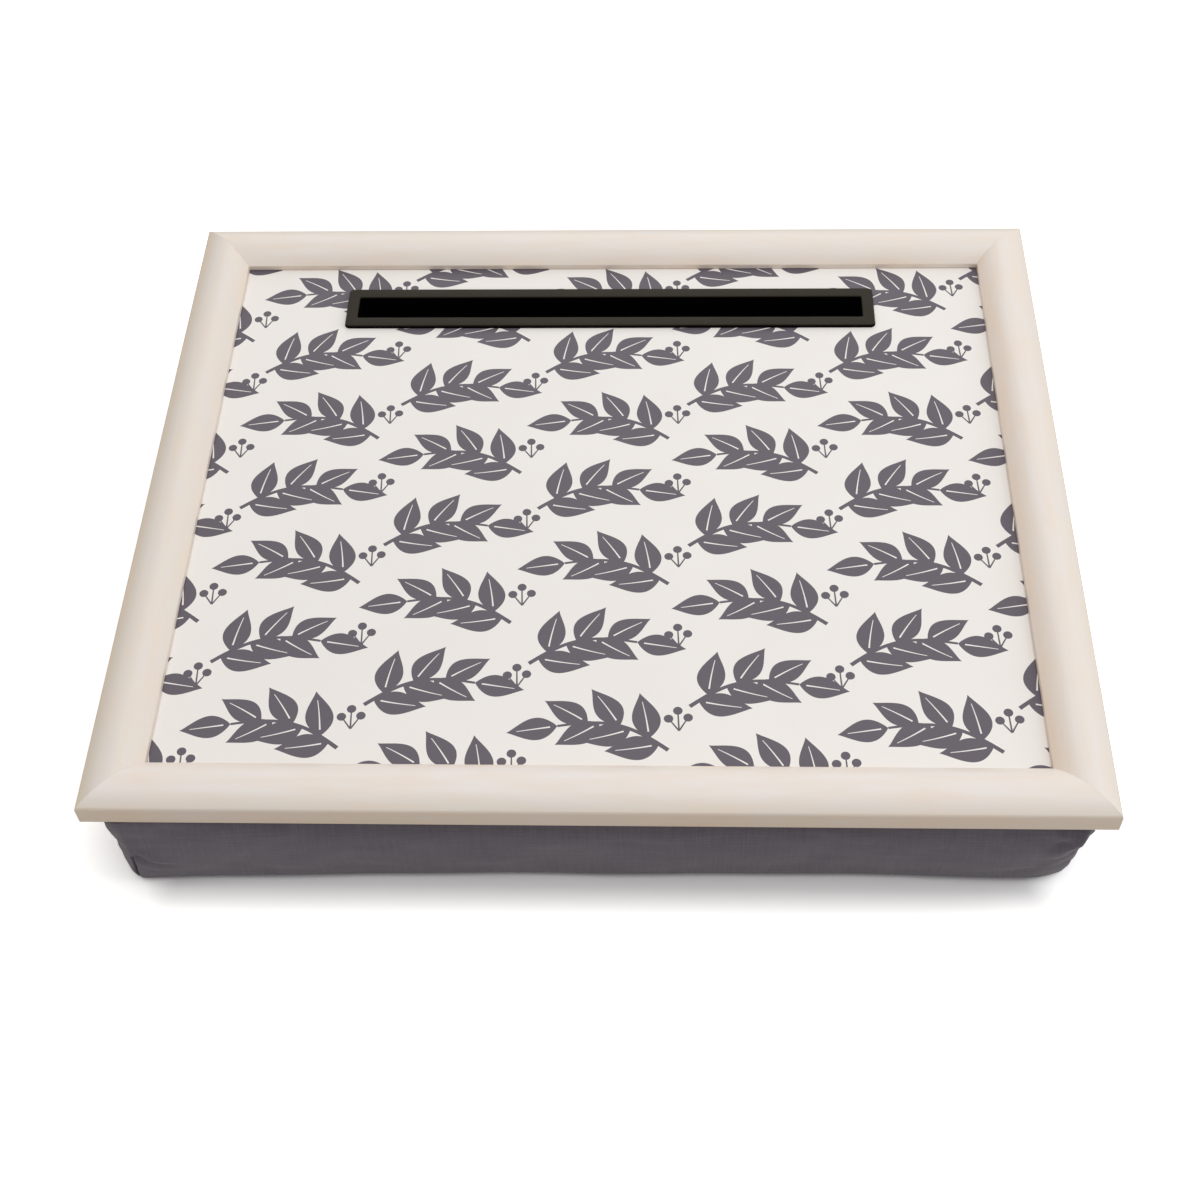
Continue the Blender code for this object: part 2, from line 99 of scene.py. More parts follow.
# Colours, as linear light
WHITE = (1.0, 1.0, 1.0)
CREAM = (0.802, 0.748, 0.714)
# Cream in shade: painted shade on the outer slopes, and on whole rails that the light leaves dimmer
CREAM_IN_SHADE = (0.620, 0.560, 0.480)
# Tan: partly a glaze, partly painted warm shade on the slopes and sides away from the light
TAN_GLAZE_AND_SHADE = (0.830, 0.636, 0.465)
PAPER_WHITE = (0.850, 0.818, 0.795)
PAPER_CLOUD = (0.825, 0.790, 0.768)
INK = (0.110, 0.094, 0.118)
INK_LIGHT = (0.131, 0.114, 0.136)
BLACK_MOULDING = (0.0235, 0.0190, 0.0125)
DUSTY_MOULDING = (0.030, 0.0255, 0.0195)
# Near black: painted shade in the slot's tub and low on its flange's side
BLACK_PAINTED_SHADE = (0.0015, 0.0015, 0.0015)
SLATE = (0.110, 0.095, 0.118)
SLATE_LIGHT = (0.160, 0.143, 0.172)
BOARD_BROWN = (0.300, 0.190, 0.110)
BOARD_DARK = (0.20, 0.12, 0.07)
STEEL_GREY = (0.560, 0.560, 0.570)
TAPE_BLACK = (0.020, 0.020, 0.022)
HOOK_GREY = (0.05, 0.05, 0.055)

# Noise patterns: waves a metre, as one number or one a direction, then detail and roughness
PATTERNS = {
    "paint_streaks": ((26.0, 220.0, 1.0), 3.0, 0.45),
    "paint_bristles": ((30.0, 1700.0, 1.0), 2.0, 0.55),
    "paint_clouds": (30.0, 2.0, 0.55),
    "laminate_clouds": (22.0, 3.0, 0.55),
    "laminate_peel": (420.0, 2.0, 0.55),
    "ink_grain": (2200.0, 2.0, 0.55),
    "moulding_grain": (3200.0, 3.0, 0.55),
    "moulding_dust": (60.0, 4.0, 0.55),
    "warp_slubs": ((1500.0, 60.0, 1.0), 1.0, 0.55),
    "weft_slubs": ((55.0, 1500.0, 1.0), 1.0, 0.55),
    "warp_tone": ((520.0, 24.0, 1.0), 2.0, 0.55),
    "weft_tone": ((22.0, 520.0, 1.0), 2.0, 0.55),
    "cloth_fade": ((16.0, 16.0, 1.0), 4.0, 0.55),
    "board_fibres": (700.0, 5.0, 0.55),
    "steel_marks": ((400.0, 4000.0, 400.0), 3.0, 0.55),
}
# How a pattern shows: the noise where it starts, the noise where it is full, its share when full
PATTERN_SHARES = {
    "paint_streaks": (0.42, 0.66, 0.20),
    "paint_clouds": (0.45, 0.75, 0.16),
    "laminate_clouds": (0.35, 0.70, 0.50),
    "ink_grain": (0.30, 0.80, 0.45),
    "moulding_dust": (0.40, 0.80, 0.50),
    "warp_slubs": (0.42, 0.80, 1.00),
    "weft_slubs": (0.42, 0.80, 0.85),
    "warp_tone": (0.40, 0.80, 1.00),
    "weft_tone": (0.40, 0.80, 0.90),
    "cloth_fade": (0.40, 0.70, 0.20),
}
WEAVE_WAVES = (2400.0, 2400.0, 1.0)
HOOK_WAVES = 900.0
# Roughness at the low and at the high noise of a finish's pattern, and the height of its relief
ROUGHNESS_NOISE = (0.3, 0.7)
PAINT_ROUGHNESS = (0.42, 0.56)
LAMINATE_ROUGHNESS = (0.40, 0.52)
MOULDING_ROUGHNESS = (0.42, 0.56)
STEEL_ROUGHNESS = (0.24, 0.42)
PAINT_RELIEF = 0.000022
LAMINATE_RELIEF = 0.00002
MOULDING_RELIEF = 0.00003
CLOTH_RELIEF = 0.00009
BOARD_RELIEF = 0.0001
STEEL_RELIEF = 0.00002
TAPE_RELIEF = 0.0004
# Specular level of the laminate, and of the slot's flange and the inside of its tub
LAMINATE_GLOSS = 0.3
FLANGE_GLOSS = 0.11
TUB_GLOSS = 0.01
# How much of the cloth's slubs and tones shows in its colour, and of its weave in its relief
SLUB_SHARE = 0.38
TONE_SHARE = 0.30
WEAVE_RELIEF_SHARE = 0.35

# Paint of each rail: share of painted shade (the shaded cream) all over and on the outer slope,
# then the most tan, partly glaze and partly painted warm shade, high on the inner slope, low down
# by the lip and at the outer edge
RAIL_GLAZE_AND_SHADE = {
    "front": (0.0, 0.50, 0.0, 0.66, 0.04),
    "right": (0.10, 0.30, 0.34, 0.66, 0.0),
    "back": (0.12, 0.50, 0.0, 0.66, 0.0),
    "left": (0.31, 0.66, 0.0, 0.26, 0.30),
}
# Most tan, partly glaze and partly painted warm shade, on other low ground and on the upright side,
# and how high low ground reaches, as a share of the shoulder's height
LOW_TAN_SHARE = 0.66
UPRIGHT_TAN_SHARE = 0.5
LOW_GROUND_SHARE = 1.15
STREAK_RELIEF_SHARE = 1.2
# Where the paint's tones change, as two lengths inward from the dome's outer end round the section
LIP_STRETCH = (0.0180, 0.0100)
INNER_SLOPE_STRETCH = (0.0270, 0.0170)
OUTER_SLOPE_STRETCH = (0.0100, 0.0010)
OUTER_EDGE_STRETCH = (0.0070, 0.0015)
UPRIGHT_STRETCH = (0.0008, -0.0008)

# Moulding section, inward from the outer edge and up from the underside
CREST_PLACE = 0.0125
SHOULDER_HEIGHT = 0.0107
LIP_TOP_HEIGHT = 0.0081
OUTER_DOME_POWER = 1.9
INNER_DOME_POWER = 2.1
LIP_COVER = 0.0060
LIP_GAP = 0.0003
SHOULDER_ROUND = 0.0020
LIP_ROUND = 0.0007
FOOT_ROUND = 0.0009
DOME_STEPS = 26
ROUND_STEPS = 6
MITRE_HALF_GAP = 0.00001
MITRE_ARRIS = 0.00004
MITRE_SHARP_ANGLE = math.radians(32)

# Moulded slot
SLOT_LENGTH = 0.264
SLOT_WIDTH = 0.0152
SLOT_DEPTH = 0.0140
SLOT_CORNER_RADIUS = 0.0009
TUB_CORNER_RADIUS = 0.0035
TUB_FOOT_WALL_SHARE = 0.7
FLANGE_CORNER_RADIUS = 0.0028
FLANGE_ROUND = 0.0004
FLANGE_LEAN = 0.0003
MOUTH_ROUND = 0.0006
INSERT_WALL = 0.0015
FLOOR_FILLET = 0.0012
WALL_DRAFT = math.radians(1.5)
INSERT_CORNER_STEPS = 14
INSERT_SHARP_ANGLE = math.radians(35)
# Heights above the laminate: where the tub's own finish ends, and where the colour changes, from
# the near black of painted shade in the tub and low on the flange's side to the plain black
TUB_FINISH_TOP = 0.0012
TUB_SHADE_HEIGHTS = (0.0010, 0.0020)

# Laminate, cut in millimetres
SHEET_CORNER_RADIUS = 0.001
SHEET_CORNER_STEPS = 3
CUTOUT_GAP = 0.0004
CUTOUT_CORNER_RADIUS = 0.004
CUTOUT_CORNER_STEPS = 6
MM = 1000
CUT_TOLERANCE_MM = 1e-4

# Print: rows of leaf sprigs, with berries between them
SPRIG_PITCH_X = 0.0720
SPRIG_PITCH_Y = 0.0455
SPRIG_TILT = math.radians(14)
STEM_START = (-0.033, -0.003)
STEM_LENGTH = 0.050
STEM_BOW = 0.0070
STEM_WIDTHS = (0.0020, 0.0012)
PAIR_SHARES = (0.14, 0.42, 0.70)
STAGGER_SHARE = 0.05
END_LEAF_LENGTH = 0.0225
LEAF_LENGTH = 0.0240
LEAF_LENGTH_STEP = 0.0008
LEAF_LEAN = 0.88
LEAF_LEAN_STEP = 0.10
LEAF_WIDTH_SHARE = 0.52
LEAF_BEND = 0.0020
LEAF_SKEW_POWER = 0.78
LEAF_POINT_POWER = 1.15
MIDRIB_SHARES = (0.14, 0.80)
MIDRIB_WIDTHS = (0.00075, 0.0003)
# Berries: direction and length of each stalk
BERRY_STALKS = ((1.05, 0.0080), (1.62, 0.0105), (2.20, 0.0078))
STALK_WIDTHS = (0.0008, 0.0006)
BERRY_RADIUS = 0.0021
BERRY_DROP_SHARE = 0.02
# Points in each outline
STEM_POINTS = 24
LEAF_POINTS = 22
MIDRIB_POINTS = 10
BERRY_POINTS = 24
STALK_POINTS = 6

# Cushion: its grid and its rounded box
SIDE_CELLS = (88, 72)
HEIGHT_CELLS = 30
DENSE_SHARE = 0.82
CUSHION_CORNER_RADIUS = 0.0070
CUSHION_BASE_ROUND = 0.0060
# How its sides are drawn, where a pair of heights is where a smooth rise starts and is full
LONG_SIDE_CORNER_OUT = 0.0040
LONG_SIDE_MIDDLE_IN = 0.0008
SHORT_SIDE_CORNER_IN = 0.0008
SHORT_SIDE_MIDDLE_IN = 0.0034
SIDE_DRAW_POWER = 2.2
FRONT_RIGHT_STEP_BACK = 0.0036
WALL_CROWN = 0.0007
TOP_TUCK = 0.0030
TOP_TUCK_HEIGHTS = (0.0360, 0.0500)
TOP_DIP = 0.0030
TOP_DIP_HEIGHTS = (0.0465, 0.0510)
TUCK_CORNER_POWER = 6
DRAWN_EDGE_WIDTH = 0.012
# Slow waves in its sides: height, radians a metre along and up, start
SIDE_WAVES = ((0.0003, 41, 35, 0.0), (0.0002, 83, -80, 1.3))
WAVE_FREE_REACH = 0.035
# Corners, where the cut share is how far a round corner of radius one lies inside a square one
CORNER_DRAW_REACH = 0.013
CORNER_GROWTH_HEIGHTS = (0.0460, 0.0160)
CORNER_CUT_SHARE = 0.41
CORNER_FOOT_HEIGHT = 0.0125
CORNER_FOOT_REACH = 0.016
TOP_FLARE = 0.0016
TOP_FLARE_HEIGHTS = (0.0300, 0.0480)
TOP_FLARE_REACH = 0.010
# Folds: shares of their length where they fade in and out, and the ridge's place and width as
# shares of the valley's width
FOLD_IN_SHARES = (-0.12, 0.18)
FOLD_OUT_SHARES = (1.05, 0.35)
RIDGE_PLACE_SHARE = 1.5
RIDGE_WIDTH_SHARE = 1.1
RELIEF_FOOT_HEIGHTS = (0.0, 0.005)
RELIEF_BELOW_TOP = (-0.004, 0.002)
# Slit in the front left seam: its pull is distances from it, then how far the cloth moves to it
SLIT_PLACE = 0.0055
SLIT_DEPTH = 0.0090
SLIT_PULL = ((0.0, 0.0009, 0.0018, 0.0027, 0.0055), (0.0, 0.00060, 0.00115, 0.00115, 0.0))
SLIT_FOOT_HEIGHTS = (0.0015, 0.0045)
SLIT_TOP_HEIGHTS = (0.0245, 0.0205)
SLIT_LEAN = 0.0022
SLIT_LEAN_HEIGHTS = (0.0070, 0.0200)
SLIT_LEAN_REACH = 0.004
# Cloth simulation
CLOTH_QUALITY = 6
CLOTH_MASS = 0.15
CLOTH_STIFFNESS = 20
CLOTH_BENDING = 2.0
CLOTH_PRESSURE = 3.0
CLOTH_EASE = 0.008
CLOTH_FRAMES = 20
CLOTH_MOVE_LIMIT = 0.004
CLOTH_FREE_HEIGHTS = (0.001, 0.021)
HELD_AT_BASE = 0.0012
HELD_AT_TOP = 0.0030
CLOTH_CALM = 0.5
CLOTH_CALM_REACH = 0.070
# Lid: its raised edge, its clearance from the tapes and its hollow under the slot's tub
EDGE_FLANGE_RISE = 0.0026
EDGE_FLANGE_WIDTH = 0.0014
TAPE_CLEARANCES = (0.0060, 0.0090)
TROUGH_HOLLOW_HALF = (0.1420, 0.0165)
TROUGH_HOLLOW_HEIGHT = 0.0446

# A length that counts as none, and a number that keeps a division from zero
TOUCHING = 1e-6
TINY = 1e-9


def new_finish(name, colour, roughness):
    """A material with a Principled BSDF: (material, node tree, shader)."""
    finish = bpy.data.materials.new(name)
    finish.use_nodes = True
    shader = finish.node_tree.nodes["Principled BSDF"]
    shader.inputs["Base Color"].default_value = (*colour, 1.0)
    shader.inputs["Roughness"].default_value = roughness
    return finish, finish.node_tree, shader


def add_node(tree, kind, inputs=None, **settings):
    """A shader node with its settings, and its inputs given as numbers or as sockets to link."""
    node = tree.nodes.new(kind)
    for key, value in settings.items():
        setattr(node, key, value)
    for key, value in (inputs or {}).items():
        if isinstance(value, bpy.types.NodeSocket):
            tree.links.new(value, node.inputs[key])
        else:
            node.inputs[key].default_value = value
    return node


def piece_place(tree):
    """The place of each point of the piece."""
    return add_node(tree, "ShaderNodeTexCoord").outputs["Object"]


def split(tree, vector, axis):
    """One of the three numbers of a vector."""
    return add_node(tree, "ShaderNodeSeparateXYZ", {"Vector": vector}).outputs[axis]


def scaled(tree, source, waves):
    """A pattern source stretched by waves a metre, given as one number or one a direction."""
    inputs = {"Vector": source, "Scale": np.broadcast_to(waves, 3).tolist()}
    return add_node(tree, "ShaderNodeMapping", inputs).outputs["Vector"]


def noise(tree, source, pattern):
    """The noise of a named pattern."""
    waves, detail, rough = PATTERNS[pattern]
    vector = scaled(tree, source, waves)
    inputs = {"Vector": vector, "Scale": 1.0, "Detail": detail, "Roughness": rough}
    return add_node(tree, "ShaderNodeTexNoise", inputs).outputs["Fac"]


def remap(tree, value, low, high, to_low=0.0, to_high=1.0):
    """A number moved from one range to another and held inside it."""
    inputs = {"Value": value, "From Min": low, "From Max": high, "To Min": to_low, "To Max": to_high}
    return add_node(tree, "ShaderNodeMapRange", inputs).outputs["Result"]


def pattern_share(tree, value, pattern):
    """The noise of a named pattern as a share, from none where it starts to its most where it is full."""
    start, full, most = PATTERN_SHARES[pattern]
    return remap(tree, value, start, full, 0.0, most)


def combine(tree, operation, first, second):
    """One arithmetic step between two numbers or sockets."""
    return add_node(tree, "ShaderNodeMath", {0: first, 1: second}, operation=operation).outputs["Value"]


def blend_colours(tree, share, first, second):
    """Two colours mixed by a share; each is a colour or a socket."""
    node = add_node(tree, "ShaderNodeMix", {"Factor": share}, data_type="RGBA")
    # A Mix node's colour sockets are its inputs 6 and 7 and its output 2
    for socket, value in ((node.inputs[6], first), (node.inputs[7], second)):
        if isinstance(value, bpy.types.NodeSocket):
            tree.links.new(value, socket)
        else:
            socket.default_value = (*value, 1.0)
    return node.outputs[2]


def vary_roughness(tree, shader, value, smooth_and_rough):
    """Let the roughness follow a pattern's noise between two values."""
    varied = remap(tree, value, *ROUGHNESS_NOISE, *smooth_and_rough)
    tree.links.new(varied, shader.inputs["Roughness"])


def raise_surface(tree, shader, height, distance):
    """Bump on a shader: the pattern times a distance in metres."""
    bump = add_node(tree, "ShaderNodeBump", {"Height": height, "Distance": distance, "Strength": 1.0})
    tree.links.new(bump.outputs["Normal"], shader.inputs["Normal"])


def section_ramp(tree, round_section, stretch, start, end):
    """A number that changes over a stretch of the moulding's section and is held past both ends."""
    first, last = stretch
    return remap(tree, round_section, DOME_END - first, DOME_END - last, start, end)


def paint_finish(side):
    """Cream satin paint, brushed along one rail, under a tan that is partly glaze, partly painted warm
    shade.

    The tan's share is the largest of four: on low ground, on the upright outer side, high on the
    inner slope and at the outer edge. Streaks and clouds of glaze add to it. The cream is darkened by
    painted shade, by a share all over and one more on the outer slope.
    """
    finish, tree, shader = new_finish(f"cream_paint_{side}", CREAM, roughness=0.5)
    shade_all_over, outer_shade, inner_shade_tan, lip_tan, outer_tan = RAIL_GLAZE_AND_SHADE[side]
    along = add_node(tree, "ShaderNodeUVMap", uv_map="along_rail").outputs["UV"]
    round_section = split(tree, along, "Y")
    place = piece_place(tree)
    streaks = noise(tree, along, "paint_streaks")
    clouds = noise(tree, place, "paint_clouds")
    bristles = noise(tree, along, "paint_bristles")
    ground_top = RAIL_UNDERSIDE + SHOULDER_HEIGHT * LOW_GROUND_SHARE
    lowness = remap(tree, split(tree, place, "Z"), RAIL_UNDERSIDE, ground_top, 1.0, 0.0)
    most_tan = section_ramp(tree, round_section, LIP_STRETCH, lip_tan, LOW_TAN_SHARE)
    upright = section_ramp(tree, round_section, UPRIGHT_STRETCH, 0.0, 1.0)
    # Tan low down, on the upright side, on the inner slope and at the outer edge: partly glaze, partly
    # painted warm shade
    glaze_and_shade = combine(tree, "MULTIPLY", lowness, most_tan)
    for share in (
        combine(tree, "MULTIPLY", upright, UPRIGHT_TAN_SHARE),
        section_ramp(tree, round_section, INNER_SLOPE_STRETCH, inner_shade_tan, 0.0),
        section_ramp(tree, round_section, OUTER_EDGE_STRETCH, 0.0, outer_tan),
    ):
        glaze_and_shade = combine(tree, "MAXIMUM", glaze_and_shade, share)
    glaze_and_shade = combine(tree, "ADD", glaze_and_shade, pattern_share(tree, streaks, "paint_streaks"))
    glaze_and_shade = combine(tree, "ADD", glaze_and_shade, pattern_share(tree, clouds, "paint_clouds"))
    # Painted shade: the cream darkens on the outer slope, and by a share all over some rails
    shade = section_ramp(tree, round_section, OUTER_SLOPE_STRETCH, 0.0, outer_shade)
    shade = combine(tree, "MULTIPLY", shade, combine(tree, "SUBTRACT", 1.0, upright))
    shade = combine(tree, "ADD", shade, shade_all_over)
    colour = blend_colours(tree, glaze_and_shade, blend_colours(tree, shade, CREAM, CREAM_IN_SHADE), TAN_GLAZE_AND_SHADE)
    tree.links.new(colour, shader.inputs["Base Color"])
    vary_roughness(tree, shader, streaks, PAINT_ROUGHNESS)
    relief = combine(tree, "ADD", bristles, combine(tree, "MULTIPLY", streaks, STREAK_RELIEF_SHARE))
    raise_surface(tree, shader, relief, PAINT_RELIEF)
    return finish


def laminate_finish():
    """Printed melamine: off-white ground, and flat dark ink on the faces whose "ink" is one."""
    finish, tree, shader = new_finish("printed_laminate", PAPER_WHITE, roughness=0.45)
    shader.inputs["Specular IOR Level"].default_value = LAMINATE_GLOSS
    place = piece_place(tree)
    ink = add_node(tree, "ShaderNodeAttribute", attribute_name="ink").outputs["Fac"]
    clouds = noise(tree, place, "laminate_clouds")
    grain = pattern_share(tree, noise(tree, place, "ink_grain"), "ink_grain")
    cloudy = pattern_share(tree, clouds, "laminate_clouds")
    ground = blend_colours(tree, cloudy, PAPER_WHITE, PAPER_CLOUD)
    dark = blend_colours(tree, grain, INK, INK_LIGHT)
    tree.links.new(blend_colours(tree, ink, ground, dark), shader.inputs["Base Color"])
    vary_roughness(tree, shader, clouds, LAMINATE_ROUGHNESS)
    raise_surface(tree, shader, noise(tree, place, "laminate_peel"), LAMINATE_RELIEF)
    return finish


def plastic_finish(name, gloss):
    """Black plastic with a fine grain and a little dust, nearly without colour below its flange: painted
    shade.
    """
    finish, tree, shader = new_finish(name, BLACK_MOULDING, roughness=0.5)
    shader.inputs["Specular IOR Level"].default_value = gloss
    place = piece_place(tree)
    dust = noise(tree, place, "moulding_dust")
    dusty = pattern_share(tree, dust, "moulding_dust")
    face = blend_colours(tree, dusty, BLACK_MOULDING, DUSTY_MOULDING)
    # Painted shade: the colour goes to near black below the flange's top
    heights = [PANEL_TOP + height for height in TUB_SHADE_HEIGHTS]
    shown = remap(tree, split(tree, place, "Z"), *heights)
    tree.links.new(blend_colours(tree, shown, BLACK_PAINTED_SHADE, face), shader.inputs["Base Color"])
    vary_roughness(tree, shader, dust, MOULDING_ROUGHNESS)
    raise_surface(tree, shader, noise(tree, place, "moulding_grain"), MOULDING_RELIEF)
    return finish


def cloth_finish():
    """Plain-woven cotton: fine threads, and thicker slubs here and there in both directions.

    The lighter colour's share is a sum of the slubs, of the threads' tones and of a slow fading.
    """
    finish, tree, shader = new_finish("slate_cotton", SLATE, roughness=0.92)
    shader.inputs["Sheen Weight"].default_value = 0.25
    shader.inputs["Sheen Roughness"].default_value = 0.5
    cut = add_node(tree, "ShaderNodeUVMap", uv_map="cloth_cut").outputs["UV"]
    inputs = {"Vector": scaled(tree, cut, WEAVE_WAVES), "Scale": 1.0}
    weave = add_node(tree, "ShaderNodeTexChecker", inputs).outputs["Fac"]
    names = ("warp_slubs", "weft_slubs", "warp_tone", "weft_tone", "cloth_fade")
    shown = {name: pattern_share(tree, noise(tree, cut, name), name) for name in names}
    slubs = combine(tree, "ADD", shown["warp_slubs"], shown["weft_slubs"])
    tones = combine(tree, "ADD", shown["warp_tone"], shown["weft_tone"])
    share = combine(tree, "MULTIPLY", slubs, SLUB_SHARE)
    share = combine(tree, "ADD", share, combine(tree, "MULTIPLY", tones, TONE_SHARE))
    share = combine(tree, "ADD", share, shown["cloth_fade"])
    colour = blend_colours(tree, share, SLATE, SLATE_LIGHT)
    tree.links.new(colour, shader.inputs["Base Color"])
    relief = combine(tree, "ADD", combine(tree, "MULTIPLY", weave, WEAVE_RELIEF_SHARE), slubs)
    raise_surface(tree, shader, relief, CLOTH_RELIEF)
    return finish


def board_finish():
    """Brown pressed board, darker along its fibres."""
    finish, tree, shader = new_finish("pressed_board", BOARD_BROWN, roughness=0.7)
    fibres = noise(tree, piece_place(tree), "board_fibres")
    colour = blend_colours(tree, fibres, BOARD_BROWN, BOARD_DARK)
    tree.links.new(colour, shader.inputs["Base Color"])
    raise_surface(tree, shader, fibres, BOARD_RELIEF)
    return finish


def steel_finish():
    """Bright rolled steel."""
    finish, tree, shader = new_finish("bright_steel", STEEL_GREY, roughness=0.3)
    shader.inputs["Metallic"].default_value = 1.0
    marks = noise(tree, piece_place(tree), "steel_marks")
    vary_roughness(tree, shader, marks, STEEL_ROUGHNESS)
    raise_surface(tree, shader, marks, STEEL_RELIEF)
    return finish


def tape_finish():
    """Black hook-and-loop tape, greyer between its hooks."""
    finish, tree, shader = new_finish("hook_and_loop_tape", TAPE_BLACK, roughness=0.95)
    inputs = {"Vector": scaled(tree, piece_place(tree), HOOK_WAVES), "Scale": 1.0}
    hooks = add_node(tree, "ShaderNodeTexVoronoi", inputs).outputs["Distance"]
    colour = blend_colours(tree, hooks, TAPE_BLACK, HOOK_GREY)
    tree.links.new(colour, shader.inputs["Base Color"])
    raise_surface(tree, shader, hooks, TAPE_RELIEF)
    return finish


def finished_piece(name, mesh, finish):
    """Link a mesh as a piece of the object, riding on the tray's one body."""
    piece = bpy.data.objects.new(name, mesh)
    bpy.context.scene.collection.objects.link(piece)
    mesh.materials.append(finish)
    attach(piece, "root")
    return piece


def mesh_of(name, points, faces, smooth_angle=None):
    """A mesh from an array of points and a list of faces."""
    mesh = bpy.data.meshes.new(name)
    mesh.from_pydata(np.asarray(points).tolist(), [], faces)
    mesh.validate()
    mesh.shade_smooth()
    if smooth_angle is not None:
        mesh.set_sharp_from_angle(angle=smooth_angle)
    return mesh


def set_uv(mesh, name, corners):
    """A UV map from one pair of numbers for each face corner."""
    layer = mesh.uv_layers.new(name=name)
    layer.data.foreach_set("uv", np.asarray(corners, np.float32).ravel())


def wrapped_quads(rows, columns):
    """Faces of a grid of points that closes on itself across its columns."""
    row = np.arange(rows - 1)[:, None]
    column = np.arange(columns)[None, :]
    after = (column + 1) % columns
    corners = (
        row * columns + column,
        row * columns + after,
        (row + 1) * columns + after,
        (row + 1) * columns + column,
    )
    return np.stack(np.broadcast_arrays(*corners), axis=-1).reshape(-1, 4)


def wrapped_uv(along, around):
    """Face-corner UVs that match wrapped_quads: one place a row, one more place than columns."""
    rows, columns = len(along), len(around) - 1
    row = np.arange(rows - 1)[:, None]
    column = np.arange(columns)[None, :]
    steps = ((0, 0), (0, 1), (1, 1), (1, 0))
    corners = []
    for down, across in steps:
        pair = np.broadcast_arrays(along[row + down], around[column + across])
        corners.append(np.stack(pair, axis=-1))
    return np.stack(corners, axis=2).reshape(-1, 2)


def fillet(before, corner, after, radius):
    """Points of the arc that rounds one corner of a section."""
    before, corner, after = (np.array(point, float) for point in (before, corner, after))
    to_before = (before - corner) / np.linalg.norm(before - corner)
    to_after = (after - corner) / np.linalg.norm(after - corner)
    opening = math.acos(to_before @ to_after)
    middle = (to_before + to_after) / np.linalg.norm(to_before + to_after)
    centre = corner + middle * radius / math.sin(opening / 2)
    start = corner + to_before * radius / math.tan(opening / 2) - centre
    turn = np.sign(to_before[1] * to_after[0] - to_before[0] * to_after[1]) * (math.pi - opening)
    angles = math.atan2(start[1], start[0]) + turn * np.linspace(0, 1, ROUND_STEPS + 1)
    return centre + radius * np.stack([np.cos(angles), np.sin(angles)], axis=1)


def dome_height(place, crest):
    """Domed face: the height falls from the crest by a power of the share of the way to each edge."""
    outer_share = np.abs((CREST_PLACE - place) / CREST_PLACE)
    inner_share = np.abs((place - CREST_PLACE) / (RAIL_WIDTH - CREST_PLACE))
    outer = crest - (crest - SHOULDER_HEIGHT) * outer_share**OUTER_DOME_POWER
    inner = crest - (crest - LIP_TOP_HEIGHT) * inner_share**INNER_DOME_POWER
    return np.where(place < CREST_PLACE, outer, inner)


def moulding_section():
    """Closed outline of the moulding: foot, rebate, lip, dome and outer side."""
    crest = RAIL_CREST - RAIL_UNDERSIDE
    lip_underside = PANEL_TOP + LIP_GAP - RAIL_UNDERSIDE
    rebate = RAIL_WIDTH - LIP_COVER
    inner = np.linspace(RAIL_WIDTH, CREST_PLACE, DOME_STEPS, endpoint=False)[1:]
    outer = np.linspace(CREST_PLACE, 0, DOME_STEPS, endpoint=False)
    dome = np.concatenate([inner, outer])
    dome = np.stack([dome, dome_height(dome, crest)], axis=1)
    lip_foot = (RAIL_WIDTH, lip_underside)
    parts = [
        [(rebate, 0.0), (rebate, lip_underside), lip_foot],
        fillet(lip_foot, (RAIL_WIDTH, LIP_TOP_HEIGHT), dome[0], LIP_ROUND),
        dome,
        fillet(dome[-1], (0.0, SHOULDER_HEIGHT), (0.0, 0.0), SHOULDER_ROUND),
        fillet((0.0, SHOULDER_HEIGHT), (0.0, 0.0), (rebate, 0.0), FOOT_ROUND),
    ]
    return np.concatenate([np.asarray(part) for part in parts])


def dome_end(section):
    """Length round a section from its start to the outer end of its dome."""
    steps = np.linalg.norm(np.diff(section, axis=0), axis=1)
    last = np.nonzero(section[:-1, 1] > SHOULDER_HEIGHT)[0][-1]
    return float(steps[: last + 1].sum())


def section_normals(section):
    """Outward directions of a closed anticlockwise outline, averaged at its points."""
    edge = np.roll(section, -1, axis=0) - section
    normal = np.stack([edge[:, 1], -edge[:, 0]], axis=1)
    normal /= np.linalg.norm(normal, axis=1)[:, None]
    mean = normal + np.roll(normal, 1, axis=0)
    return mean / np.linalg.norm(mean, axis=1)[:, None]


